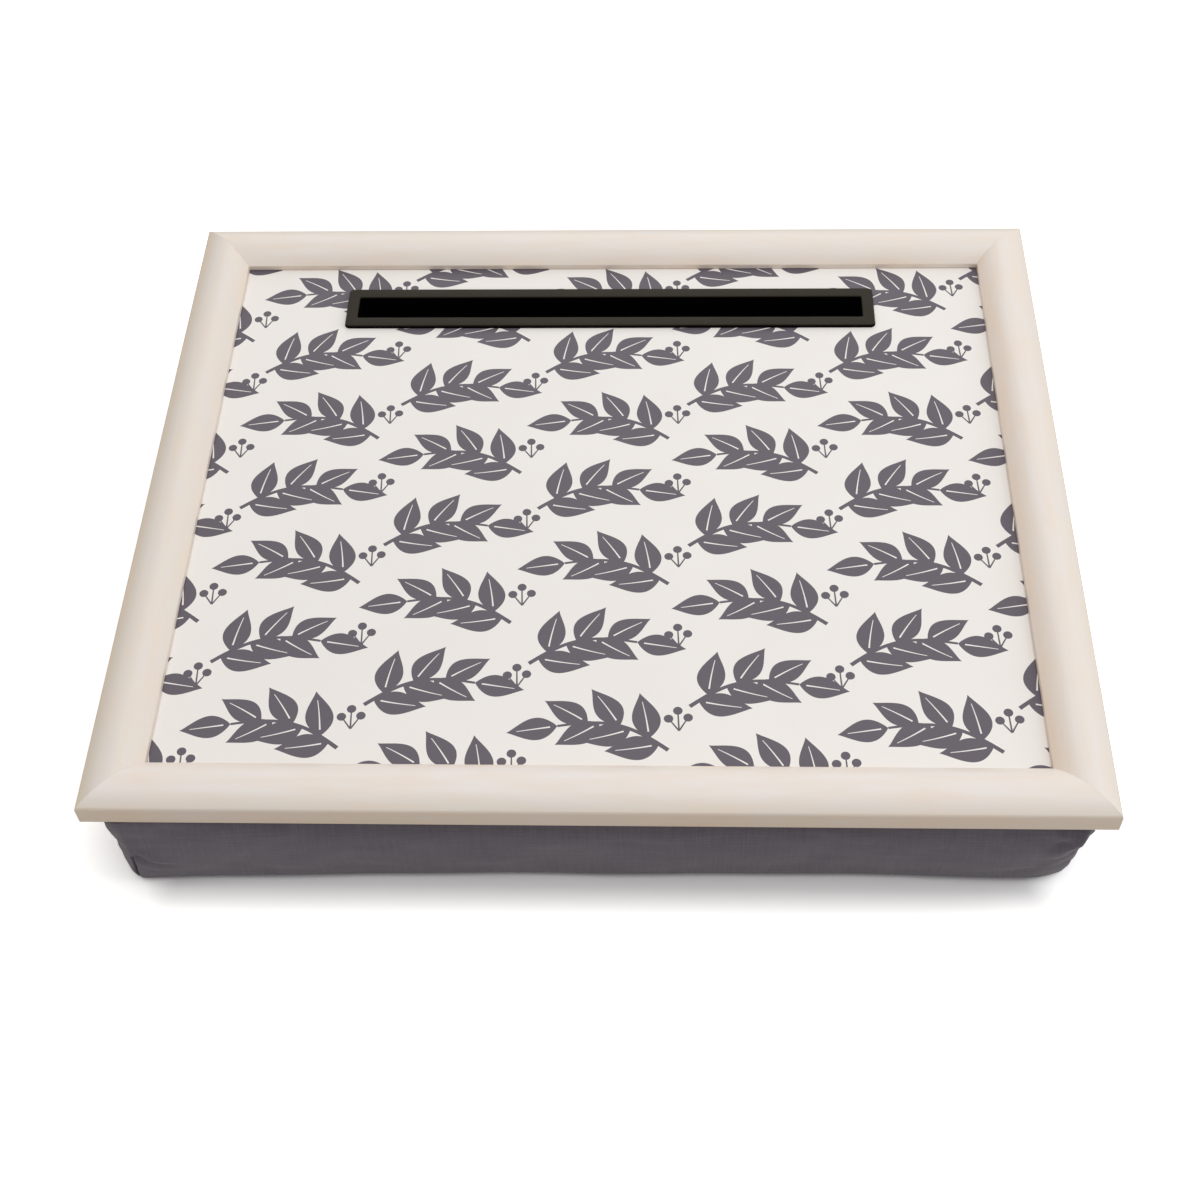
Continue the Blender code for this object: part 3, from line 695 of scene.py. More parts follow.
def make_rail(side, length, middle, turn):
    """One rail: the section carried along its side, mitred, its end arrises taken off."""
    section = moulding_section()
    shrunk = section - section_normals(section) * MITRE_ARRIS
    half = length / 2 - MITRE_HALF_GAP
    along = np.array([-1.0, -1.0, 1.0, 1.0])
    back = np.array([0.0, MITRE_ARRIS, MITRE_ARRIS, 0.0])
    rings = np.stack([shrunk, section, section, shrunk])
    x = along[:, None] * (half - back[:, None] - rings[:, :, 0])
    y = rings[:, :, 0]
    z = rings[:, :, 1] + RAIL_UNDERSIDE
    turned_x = middle[0] + x * math.cos(turn) - y * math.sin(turn)
    turned_y = middle[1] + x * math.sin(turn) + y * math.cos(turn)
    points = np.stack([turned_x, turned_y, z], axis=-1).reshape(-1, 3)
    columns = len(section)
    quads = wrapped_quads(len(rings), columns)[:, ::-1]
    first_end = list(range(columns))
    last_end = list(range(len(points) - columns, len(points)))[::-1]
    faces = quads.tolist() + [first_end, last_end]
    mesh = mesh_of(f"{side}_moulding", points, faces, MITRE_SHARP_ANGLE)
    steps = np.linalg.norm(np.diff(np.vstack([section, section[:1]]), axis=0), axis=1)
    around = np.concatenate([[0.0], np.cumsum(steps)])
    uv = wrapped_uv(along * half, around).reshape(-1, 4, 2)[:, ::-1].reshape(-1, 2)
    ends = np.concatenate([section, section[::-1]])
    set_uv(mesh, "along_rail", np.concatenate([uv, ends]))
    piece = finished_piece(f"{side}_moulding", mesh, paint_finish(side))
    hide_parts(f"{side}_rail")


def make_rails():
    """The four mitred rails, +X of each running anticlockwise round the tray."""
    quarter = math.pi / 2
    width, depth = cad_high.x - cad_low.x, cad_high.y - cad_low.y
    make_rail("front", width, (0, cad_low.y), 0)
    make_rail("right", depth, (cad_high.x, 0), quarter)
    make_rail("back", width, (0, cad_high.y), 2 * quarter)
    make_rail("left", depth, (cad_low.x, 0), 3 * quarter)


def rounded_ring(half_x, half_y, radius, steps):
    """Outline of a rectangle with arc corners, anticlockwise."""
    angles = np.linspace(0, np.pi / 2, steps + 1)
    ring = []
    for quarter, (side_x, side_y) in enumerate(((1, 1), (-1, 1), (-1, -1), (1, -1))):
        turned = angles + quarter * np.pi / 2
        x = side_x * (half_x - radius) + radius * np.cos(turned)
        y = side_y * (half_y - radius) + radius * np.sin(turned)
        ring.append(np.stack([x, y], axis=1))
    return np.concatenate(ring)


def leaf_outline(length, width, bend):
    """Pointed leaf along +X: half width is a skewed sine of the place along a midrib that bows."""
    t = np.linspace(0, 1, LEAF_POINTS)
    half = width / 2 * np.sin(np.pi * t**LEAF_SKEW_POWER) ** LEAF_POINT_POWER
    midrib = np.stack([t * length, bend * t**2], axis=1)
    upper = midrib + np.stack([0 * t, half], axis=1)
    lower = midrib - np.stack([0 * t, half], axis=1)
    return np.concatenate([lower, upper[-2:0:-1]])


def ribbon_outline(line, start_width, end_width):
    """A line thickened into a ribbon whose width runs from one size to another."""
    direction = np.gradient(line, axis=0)
    direction /= np.linalg.norm(direction, axis=1)[:, None]
    across = np.stack([-direction[:, 1], direction[:, 0]], axis=1)
    half = np.linspace(start_width, end_width, len(line))[:, None] / 2
    return np.concatenate([line - across * half, (line + across * half)[::-1]])


def place_outline(outline, angle, place, flip=1.0):
    """An outline turned, mirrored about its own length if asked, and moved."""
    cosine, sine = math.cos(angle), math.sin(angle)
    x, y = outline[:, 0], outline[:, 1] * flip
    turned = np.stack([x * cosine - y * sine, x * sine + y * cosine], axis=1) + np.asarray(place)
    return turned[::-1] if flip < 0 else turned


def leaf_places():
    """Each leaf as (share of the stem, side, length, lean): one at the end and a staggered row of pairs."""
    leaves = [(1.0, 0, END_LEAF_LENGTH, 0.0)]
    for number, share in enumerate(PAIR_SHARES):
        length = LEAF_LENGTH - LEAF_LENGTH_STEP * number
        lean = LEAF_LEAN - LEAF_LEAN_STEP * number
        for side in (1, -1):
            leaves.append((share + STAGGER_SHARE * side, side, length, lean))
    return leaves


def sprig_shapes():
    """One sprig about 70 mm long: (dark outlines, light outlines), centred on its middle.

    The stem is half a sine wave, and each leaf leans out from the stem's direction where it starts.
    """
    t = np.linspace(0, 1, STEM_POINTS)
    stem_x = t * STEM_LENGTH + STEM_START[0]
    stem_y = STEM_BOW * np.sin(np.pi * t) + STEM_START[1]
    dark = [ribbon_outline(np.stack([stem_x, stem_y], axis=1), *STEM_WIDTHS)]
    light = []
    for share, side, length, lean in leaf_places():
        spot = np.array([np.interp(share, t, stem_x), np.interp(share, t, stem_y)])
        before, ahead = max(share - STAGGER_SHARE, 0.0), min(share + STAGGER_SHARE, 1.0)
        rise = np.interp(ahead, t, stem_y) - np.interp(before, t, stem_y)
        run = np.interp(ahead, t, stem_x) - np.interp(before, t, stem_x)
        angle = math.atan2(rise, run) + side * lean
        flip = -1.0 if side > 0 else 1.0
        bend = LEAF_BEND if side else 0.0
        leaf = leaf_outline(length, length * LEAF_WIDTH_SHARE, bend)
        rib = np.linspace(*MIDRIB_SHARES, MIDRIB_POINTS)
        midrib = ribbon_outline(np.stack([rib * length, bend * rib**2], axis=1), *MIDRIB_WIDTHS)
        dark.append(place_outline(leaf, angle, spot, flip))
        light.append(place_outline(midrib, angle, spot, flip))
    return dark, light


def berry_shapes():
    """Three berries on thin stalks, drawn in the space between sprigs."""
    circle = np.linspace(0, 2 * np.pi, BERRY_POINTS, endpoint=False)
    berry = BERRY_RADIUS * np.stack([np.cos(circle), np.sin(circle)], axis=1)
    dark = []
    for angle, reach in BERRY_STALKS:
        tip = np.array([math.cos(angle), math.sin(angle)]) * reach
        stalk = np.linspace(0, 1, STALK_POINTS)[:, None] * tip
        dark.append(ribbon_outline(stalk, *STALK_WIDTHS))
        dark.append(tip + berry)
    return dark


def print_layout(half_x, half_y):
    """Where the sprigs go: columns half a step apart, each sprig turned against its neighbours."""
    places = []
    columns = math.ceil(half_x / SPRIG_PITCH_X) + 1
    rows = math.ceil(half_y / SPRIG_PITCH_Y) + 1
    for column in range(-columns, columns + 1):
        drop = SPRIG_PITCH_Y / 2 if column % 2 else 0.0
        for row in range(-rows, rows + 1):
            mirrored = (column + row) % 2 == 1
            turn = math.pi - SPRIG_TILT if mirrored else SPRIG_TILT
            places.append(((column * SPRIG_PITCH_X, row * SPRIG_PITCH_Y + drop), turn, mirrored))
    return places


def on_sheet(shape, half_x, half_y):
    """Whether any part of an outline's box lies over the sheet."""
    low, high = shape.min(axis=0), shape.max(axis=0)
    return low[0] < half_x and high[0] > -half_x and low[1] < half_y and high[1] > -half_y


def print_outlines(half_x, half_y):
    """Every dark and light outline of the print that reaches the sheet."""
    dark_shapes, light_shapes = sprig_shapes()
    berries = berry_shapes()
    dark, light = [], []
    for place, turn, mirrored in print_layout(half_x, half_y):
        flip = -1.0 if mirrored else 1.0
        dark += [place_outline(shape, turn, place, flip) for shape in dark_shapes]
        light += [place_outline(shape, turn, place, flip) for shape in light_shapes]
        spot = (place[0] + SPRIG_PITCH_X / 2, place[1] - SPRIG_PITCH_Y * BERRY_DROP_SHARE)
        dark += [place_outline(shape, 0.0, spot) for shape in berries]
    dark = [shape for shape in dark if on_sheet(shape, half_x, half_y)]
    light = [shape for shape in light if on_sheet(shape, half_x, half_y)]
    return dark, light


def cut_sheet(outlines, kinds):
    """Cut a sheet along outlines: (flat points, faces, whether each face is dark).

    The first outline is the sheet and the second its hole. A face is dark where it lies in a dark
    outline and in no light one.
    """
    starts = np.concatenate([[0], np.cumsum([len(outline) for outline in outlines])])
    loops = [list(range(start, end)) for start, end in zip(starts[:-1], starts[1:])]
    points = [Vector(point) for point in np.concatenate(outlines) * MM]
    result = geometry.delaunay_2d_cdt(points, [], loops, 1, CUT_TOLERANCE_MM)
    places, _, faces, _, _, sources = result
    kept, inked = [], []
    for face, origin in zip(faces, sources):
        held = {kinds[number] for number in origin}
        if "sheet" in held and "hole" not in held:
            kept.append(face)
            inked.append("dark" in held and "light" not in held)
    flat = np.array([(place.x, place.y) for place in places]) / MM
    used = np.unique(np.concatenate([np.asarray(face) for face in kept]))
    renumber = np.full(len(flat), -1)
    renumber[used] = np.arange(len(used))
    return flat[used], [renumber[face].tolist() for face in kept], inked


def make_panel():
    """The laminate as one flat sheet, cut along the outlines of its print and round the slot."""
    half_x, half_y = panel_high.x, panel_high.y
    sheet = rounded_ring(half_x, half_y, SHEET_CORNER_RADIUS, SHEET_CORNER_STEPS)
    hole_half = [size / 2 + INSERT_WALL + CUTOUT_GAP for size in (SLOT_LENGTH, SLOT_WIDTH)]
    hole = rounded_ring(*hole_half, CUTOUT_CORNER_RADIUS, CUTOUT_CORNER_STEPS)
    dark, light = print_outlines(half_x, half_y)
    outlines = [sheet, hole + (0.0, SLOT_MIDDLE_Y)] + dark + light
    kinds = ["sheet", "hole"] + ["dark"] * len(dark) + ["light"] * len(light)
    flat, faces, inked = cut_sheet(outlines, kinds)
    points = np.column_stack([flat, np.full(len(flat), panel_high.z)])
    mesh = mesh_of("laminate_sheet", points, faces)
    mesh.shade_flat()
    ink = mesh.attributes.new("ink", "FLOAT", "FACE")
    ink.data.foreach_set("value", np.array(inked, np.float32))
    piece = finished_piece("laminate_sheet", mesh, laminate_finish())
    thickness = piece.modifiers.new("sheet_thickness", "SOLIDIFY")
    thickness.thickness = panel_high.z - panel_low.z
    thickness.offset = -1.0
    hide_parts("decor_panel")


def quarter_round(radius):
    """Steps of a quarter round: (how far in, how far up) from its lower end."""
    angles = np.linspace(0, np.pi / 2, ROUND_STEPS + 1)
    return np.stack([radius * (1 - np.cos(angles)), radius * np.sin(angles)], axis=1)


def insert_profile():
    """Rings of the insert as (growth from the opening, height, corner radius), underside to floor.

    A ring without a radius takes the mouth's, which shrinks with the ring down to a quarter.
    """
    flange = slot_high.x - SLOT_LENGTH / 2
    top = slot_high.z
    floor = top - SLOT_DEPTH
    taper = SLOT_DEPTH * math.tan(WALL_DRAFT)
    seat = PANEL_TOP + LIP_GAP
    foot_round = INSERT_WALL * TUB_FOOT_WALL_SHARE
    rings = []
    for inward, up in quarter_round(foot_round):
        grow = INSERT_WALL - taper - foot_round + up
        rings.append((grow, floor - INSERT_WALL + inward, TUB_CORNER_RADIUS))
    rings.append((INSERT_WALL, seat, TUB_CORNER_RADIUS))
    rings.append((flange, seat, FLANGE_CORNER_RADIUS))
    for inward, up in quarter_round(FLANGE_ROUND):
        inward += FLANGE_LEAN
        rings.append((flange - inward, top - FLANGE_ROUND + up, FLANGE_CORNER_RADIUS - inward))
    for inward, up in quarter_round(MOUTH_ROUND)[::-1]:
        rings.append((inward, top - MOUTH_ROUND + up, None))
    for inward, up in quarter_round(FLOOR_FILLET)[::-1]:
        rings.append((-taper - FLOOR_FILLET + up, floor + inward, None))
    return rings


def make_insert():
    """The moulded slot: a trough and its rounded flange in one skin, closed at both ends."""
    rings = []
    for grow, height, radius in insert_profile():
        radius = radius or max(SLOT_CORNER_RADIUS + grow, SLOT_CORNER_RADIUS / 4)
        ring = rounded_ring(SLOT_LENGTH / 2 + grow, SLOT_WIDTH / 2 + grow, radius, INSERT_CORNER_STEPS)
        rings.append(np.column_stack([ring + (0.0, SLOT_MIDDLE_Y), np.full(len(ring), height)]))
    columns = len(rings[0])
    points = np.concatenate(rings)
    quads = wrapped_quads(len(rings), columns).tolist()
    underside = list(range(columns))[::-1]
    floor = list(range(len(points) - columns, len(points)))
    mesh = mesh_of("slot_moulding", points, quads + [underside, floor], INSERT_SHARP_ANGLE)
    flange_finish = plastic_finish("black_moulding", FLANGE_GLOSS)
    piece = finished_piece("slot_moulding", mesh, flange_finish)
    mesh.materials.append(plastic_finish("black_moulding_inside", TUB_GLOSS))
    centres = np.empty(3 * len(mesh.polygons))
    mesh.polygons.foreach_get("center", centres)
    inside = centres[2::3] < PANEL_TOP + TUB_FINISH_TOP
    mesh.polygons.foreach_set("material_index", inside.astype(np.int32))
    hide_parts("slot_insert")


def dense_at_ends(half, cells):
    """Places across a span, closer together towards both ends: a line mixed with a sine."""
    t = np.linspace(-1, 1, cells + 1)
    return half * ((1 - DENSE_SHARE) * t + DENSE_SHARE * np.sin(t * np.pi / 2))


def grid_quads(index, order):
    """Quads of a grid of point numbers, each quad's corners in the order given."""
    corners = (index[:-1, :-1], index[:-1, 1:], index[1:, 1:], index[1:, :-1])
    return np.stack([corners[number] for number in order], axis=-1).reshape(-1, 4)


def box_grid(half_x, half_y, height):
    """A closed box of quads: (points, quads, flat cloth places for each face corner).

    The sides are one band of points that goes round the box; base and top are grids inside it.
    The flat places unfold the sides outward from the base, as the cloth is cut.
    """
    cells_x, cells_y = SIDE_CELLS
    xs, ys = dense_at_ends(half_x, cells_x), dense_at_ends(half_y, cells_y)
    zs = np.linspace(0, height, HEIGHT_CELLS + 1)
    around_x = [xs[:-1], np.full(cells_y, half_x), xs[:0:-1], np.full(cells_y, -half_x)]
    around_y = [np.full(cells_x, -half_y), ys[:-1], np.full(cells_x, half_y), ys[:0:-1]]
    around_x, around_y = np.concatenate(around_x), np.concatenate(around_y)
    columns = len(around_x)
    band = np.stack(np.broadcast_arrays(around_x, around_y, zs[:, None]), axis=-1).reshape(-1, 3)
    inner_x, inner_y = np.meshgrid(xs[1:-1], ys[1:-1], indexing="ij")
    inner = np.stack([inner_x.ravel(), inner_y.ravel()], axis=1)
    base = np.column_stack([inner, np.zeros(len(inner))])
    top = np.column_stack([inner, np.full(len(inner), height)])
    points = np.concatenate([band, base, top])

    def lid_index(first_inner, first_band):
        """Point numbers of a lid: its own grid, edged by one ring of the band."""
        index = np.empty((cells_x + 1, cells_y + 1), int)
        index[1:-1, 1:-1] = first_inner + np.arange(len(inner)).reshape(cells_x - 1, cells_y - 1)
        index[:, 0] = first_band + np.arange(cells_x + 1)
        index[-1, :] = first_band + cells_x + np.arange(cells_y + 1)
        index[::-1, -1] = first_band + cells_x + cells_y + np.arange(cells_x + 1)
        index[0, ::-1] = first_band + (2 * cells_x + cells_y + np.arange(cells_y + 1)) % columns
        return index

    side_quads = wrapped_quads(HEIGHT_CELLS + 1, columns)
    base_quads = grid_quads(lid_index(len(band), 0), (0, 1, 2, 3))
    top_index = lid_index(len(band) + len(base), HEIGHT_CELLS * columns)
    quads = np.concatenate([side_quads, base_quads, grid_quads(top_index, (0, 3, 2, 1))])
    corners = points[quads]
    flat = corners[:, :, :2].copy()
    side_corners = corners[: len(side_quads)]
    side_middle = side_corners.mean(axis=1)
    on_long = np.abs(np.abs(side_middle[:, 1]) - half_y) < TOUCHING
    unfold_x = np.where(on_long, 0, np.sign(side_middle[:, 0]))
    unfold_y = np.where(on_long, np.sign(side_middle[:, 1]), 0)
    rise = side_corners[:, :, 2]
    flat[: len(side_quads), :, 0] += unfold_x[:, None] * rise
    flat[: len(side_quads), :, 1] += unfold_y[:, None] * rise
    return points, quads, flat.reshape(-1, 2)


def rounded_box(points, half_x, half_y):
    """Round the box: its upright corners first, then its base edge.

    Square rings round the core become circles, by scaling each offset to its own largest part.
    Returns the points and, for each, its outward direction seen from above.
    """
    radius = CUSHION_CORNER_RADIUS
    half = np.array([half_x, half_y])
    core = np.clip(points[:, :2], -(half - radius), half - radius)
    offset = points[:, :2] - core
    square = np.abs(offset).max(axis=1)
    length = np.linalg.norm(offset, axis=1)
    outward = offset / np.maximum(length, TINY)[:, None]
    rounding = CUSHION_BASE_ROUND
    inset, rise = radius - square, points[:, 2]
    across, up = rounding - inset, rounding - rise
    near = (across > 0) & (up > 0)
    scale = np.where(near, np.maximum(across, up) / np.maximum(np.hypot(across, up), TINY), 1.0)
    inset = np.where(near, rounding - across * scale, inset)
    rise = np.where(near, rounding - up * scale, rise)
    reach = np.where(length > TINY, radius - inset, 0.0)
    placed = core + outward * reach[:, None]
    return np.column_stack([placed, rise]), outward


def smooth_rise(value, start, end):
    """Zero at the start and one at the end, held past both: t squared times (3 - 2t) between."""
    t = np.clip((value - start) / (end - start), 0, 1)
    return t * t * (3 - 2 * t)


def bell(value, width):
    """One at zero, falling smoothly on both sides."""
    return np.exp(-((value / width) ** 2))


def fold(from_corner, up, line, width, depth, ridge):
    """A valley along a bent line of (from the corner, up) places, with a ridge beside it.

    It fades in and out over shares of the line's length. The ridge is a share of the depth: it lies
    above the valley, or below it where the share is negative.
    """
    line = np.array(line)
    place = (from_corner - line[0, 0]) / (line[-1, 0] - line[0, 0])
    across = up - np.interp(from_corner, line[:, 0], line[:, 1])
    fade = smooth_rise(place, *FOLD_IN_SHARES) * smooth_rise(place, *FOLD_OUT_SHARES)
    ridge_across = math.copysign(RIDGE_PLACE_SHARE * width, ridge)
    beside = abs(ridge) * bell(across - ridge_across, RIDGE_WIDTH_SHARE * width)
    return depth * fade * (beside - bell(across, width))


# Folds beside each corner seam: a line of (from the corner, up) places, width, depth, ridge
FRONT_LEFT_FOLDS = (
    (((0.0030, 0.0275), (0.0100, 0.0258), (0.0190, 0.0192), (0.0300, 0.0190)), 0.0018, 0.0018, 0.7),
    (((0.0090, 0.0180), (0.0180, 0.0100)), 0.0016, 0.0007, 0.7),
    (((0.0020, 0.0400), (0.0260, 0.0370)), 0.0026, 0.0006, 0.7),
)
FRONT_RIGHT_FOLDS = (
    (((0.0005, 0.0440), (0.0060, 0.0340), (0.0110, 0.0260), (0.0210, 0.0215)), 0.0034, 0.0010, 2.4),
    (((0.0010, 0.0330), (0.0050, 0.0260), (0.0110, 0.0180)), 0.0020, 0.0008, -0.5),
    (((0.0030, 0.0475), (0.0090, 0.0375), (0.0210, 0.0300)), 0.0014, 0.0021, -0.9),
    (((0.0010, 0.0440), (0.0065, 0.0350), (0.0170, 0.0270)), 0.0012, 0.0013, -0.9),
    (((0.0040, 0.0235), (0.0180, 0.0140)), 0.0018, 0.0007, 0.7),
    (((0.0030, 0.0465), (0.0300, 0.0490)), 0.0042, 0.0042, 0.0),
)
PLAIN_FOLDS = (
    (((0.0020, 0.0380), (0.0120, 0.0300), (0.0280, 0.0270)), 0.0018, 0.0014, 0.7),
    (((0.0020, 0.0240), (0.0110, 0.0170), (0.0230, 0.0150)), 0.0016, 0.0012, 0.7),
)
# Corner signs: how far the corner is drawn in, heights where that starts and is full, radius that
# it grows to at its foot, how far its foot slopes in, folds on its long side
CORNERS = {
    (-1, -1): (0.0012, (0.0480, 0.0310), 0.0070, 0.0000, FRONT_LEFT_FOLDS),
    (1, -1): (-0.0012, (0.0480, 0.0380), 0.0220, 0.0036, FRONT_RIGHT_FOLDS),
    (1, 1): (0.0020, (0.0460, 0.0240), 0.0120, 0.0040, PLAIN_FOLDS),
    (-1, 1): (0.0010, (0.0440, 0.0180), 0.0200, 0.0050, PLAIN_FOLDS),
}


def side_relief(x, y, up, outward, half_x, half_y):
    """Folds beside the corners and slow waves, as a height above the plain side."""
    on_long = np.abs(outward[:, 1]) >= np.abs(outward[:, 0])
    along = np.where(on_long, x, y)
    from_corner = np.where(on_long, half_x, half_y) - np.abs(along)
    relief = np.zeros(len(x))
    for (end_x, end_y), (_, _, _, _, long_folds) in CORNERS.items():
        here = (x * end_x > 0) & (y * end_y > 0)
        for side, folds in ((here & on_long, long_folds), (here & ~on_long, PLAIN_FOLDS)):
            for shape in folds:
                relief += np.where(side, fold(from_corner, up, *shape), 0.0)
    waves = np.zeros(len(x))
    for height, along_rate, up_rate, start in SIDE_WAVES:
        waves += height * np.sin(along * along_rate + up * up_rate + start)
    return relief + waves * smooth_rise(from_corner, 0, WAVE_FREE_REACH)


def stuffed_box(x, y, outward, placed, edge, half_x, half_y, top):
    """Draw the sides in between the corners and let them crown, in place.

    A side moves by a power of the share of the way to its corner. Its crown is half a sine wave of
    the height, and near its top it tucks in, least at its corners.
    """
    share_x, share_y = np.abs(x) / half_x, np.abs(y) / half_y
    up = placed[:, 2]
    long_corner, short_corner = share_x**SIDE_DRAW_POWER, share_y**SIDE_DRAW_POWER
    long_out = LONG_SIDE_CORNER_OUT * long_corner - LONG_SIDE_MIDDLE_IN * (1 - long_corner)
    short_out = -SHORT_SIDE_CORNER_IN * short_corner - SHORT_SIDE_MIDDLE_IN * (1 - short_corner)
    step_back = FRONT_RIGHT_STEP_BACK * np.maximum(x, 0) / half_x
    long_out = long_out - np.where(y < 0, step_back, 0)
    crown = WALL_CROWN * np.sin(np.pi * np.clip(up / top, 0, 1))
    tuck = TOP_TUCK * smooth_rise(up, *TOP_TUCK_HEIGHTS) + TOP_DIP * smooth_rise(up, *TOP_DIP_HEIGHTS)
    short_out = short_out + crown - tuck * (1 - share_y**TUCK_CORNER_POWER)
    long_out = long_out + crown - tuck * (1 - share_x**TUCK_CORNER_POWER)
    out = np.column_stack([short_out, long_out])
    placed[:, :2] += outward * out * smooth_rise(edge, DRAWN_EDGE_WIDTH, 0)[:, None]


def corner_foot(radius, reach, away, edge, up):
    """How far a corner's skin steps in: its radius grows downwards, and its foot is a slope."""
    more = (radius - CUSHION_CORNER_RADIUS) * smooth_rise(up, *CORNER_GROWTH_HEIGHTS)
    share = np.clip(1 - away / (CUSHION_CORNER_RADIUS + more), 0, 1)
    grown = CORNER_CUT_SHARE * more * share**2
    slope = reach * np.clip(1 - up / CORNER_FOOT_HEIGHT, 0, 1)
    rise = np.clip(CUSHION_BASE_ROUND - up, 0, None)
    base_round = CUSHION_BASE_ROUND - np.sqrt(CUSHION_BASE_ROUND**2 - rise**2)
    foot = np.clip(slope - base_round, 0, None) * bell(away, CORNER_FOOT_REACH)
    return (grown + foot) * (edge < CUSHION_CORNER_RADIUS)


def shape_corners(x, y, up, outward, placed, edge, half_x, half_y):
    """Draw each corner in towards the base, flare it under the frame and slope its foot, in place."""
    for (end_x, end_y), (depth, heights, radius, reach, _) in CORNERS.items():
        away = np.hypot(half_x - end_x * x, half_y - end_y * y)
        drawn = depth * smooth_rise(up, *heights) * bell(away, CORNER_DRAW_REACH)
        flare = TOP_FLARE * smooth_rise(up, *TOP_FLARE_HEIGHTS) * bell(away, TOP_FLARE_REACH)
        placed[:, 0] -= end_x * (drawn - flare)
        placed[:, :2] -= outward * corner_foot(radius, reach, away, edge, up)[:, None]


def open_slit(x, y, up, placed, half_x, half_y):
    """Open the seam at the front-left corner: one column of points goes in, along a leaning line."""
    columns = dense_at_ends(half_x, SIDE_CELLS[0])
    column = columns[np.abs(columns + half_x - SLIT_PLACE).argmin()]
    away = np.abs(x - column)
    front = y < -half_y + TOUCHING
    height = smooth_rise(up, *SLIT_FOOT_HEIGHTS) * smooth_rise(up, *SLIT_TOP_HEIGHTS)
    lean = SLIT_LEAN * smooth_rise(up, *SLIT_LEAN_HEIGHTS) * bell(away, SLIT_LEAN_REACH)
    pull = np.interp(away, *SLIT_PULL) * np.sign(column - x)
    placed[:, 0] += np.where(front, lean + pull * height, 0.0)
    placed[:, 1] += np.where(front & (away < TOUCHING), SLIT_DEPTH * height, 0.0)


def settled_cloth(placed, quads, held):
    """How far each point moves when the cover is blown up as cloth, held where told and by its base."""
    mesh = mesh_of("cloth_trial", placed, quads.tolist())
    trial = bpy.data.objects.new("cloth_trial", mesh)
    bpy.context.scene.collection.objects.link(trial)
    group = trial.vertex_groups.new(name="held")
    group.add(np.nonzero(held)[0].tolist(), 1.0, "REPLACE")
    settings = trial.modifiers.new("cloth", "CLOTH").settings
    settings.vertex_group_mass = "held"
    settings.quality = CLOTH_QUALITY
    settings.mass = CLOTH_MASS
    settings.tension_stiffness = CLOTH_STIFFNESS
    settings.compression_stiffness = CLOTH_STIFFNESS
    settings.bending_stiffness = CLOTH_BENDING
    settings.use_pressure = True
    settings.uniform_pressure_force = CLOTH_PRESSURE
    settings.shrink_min = -CLOTH_EASE
    settings.effector_weights.gravity = 0.0
    scene = bpy.context.scene
    for number in range(1, CLOTH_FRAMES + 1):
        scene.frame_set(number)
    shown = trial.evaluated_get(bpy.context.evaluated_depsgraph_get())
    moved = np.empty(len(placed) * 3, np.float32)
    shown.data.vertices.foreach_get("co", moved)
    bpy.data.objects.remove(trial)
    scene.frame_set(1)
    move = (moved.reshape(-1, 3) - placed) * smooth_rise(placed[:, 2:], *CLOTH_FREE_HEIGHTS)
    length = np.linalg.norm(move, axis=1)
    return move * np.minimum(1.0, CLOTH_MOVE_LIMIT / np.maximum(length, TINY))[:, None]


def clear_of_tapes(placed):
    """One away from the sewn tapes and zero beside them: a smooth rise of the distance from each."""
    clear = np.ones(len(placed))
    for side in ("front", "back", "left", "right"):
        low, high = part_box(f"loop_tape_{side}")
        outside_x = np.maximum(low.x - placed[:, 0], placed[:, 0] - high.x)
        outside_y = np.maximum(low.y - placed[:, 1], placed[:, 1] - high.y)
        clear *= smooth_rise(np.maximum(outside_x, outside_y), *TAPE_CLEARANCES)
    return clear


def shape_lid(x, y, lid, placed, edge):
    """Raise the lid's sewn edge where no tape is, and sink the lid under the slot's tub, in place."""
    rise = EDGE_FLANGE_RISE * (1 - smooth_rise(edge, 0, EDGE_FLANGE_WIDTH)) * clear_of_tapes(placed)
    placed[:, 2] += np.where(lid, rise, 0.0)
    half_x, half_y = TROUGH_HOLLOW_HALF
    hollow = (np.abs(x) < half_x) & (np.abs(y - SLOT_MIDDLE_Y) < half_y)
    placed[:, 2] = np.where(lid & hollow, TROUGH_HOLLOW_HEIGHT, placed[:, 2])


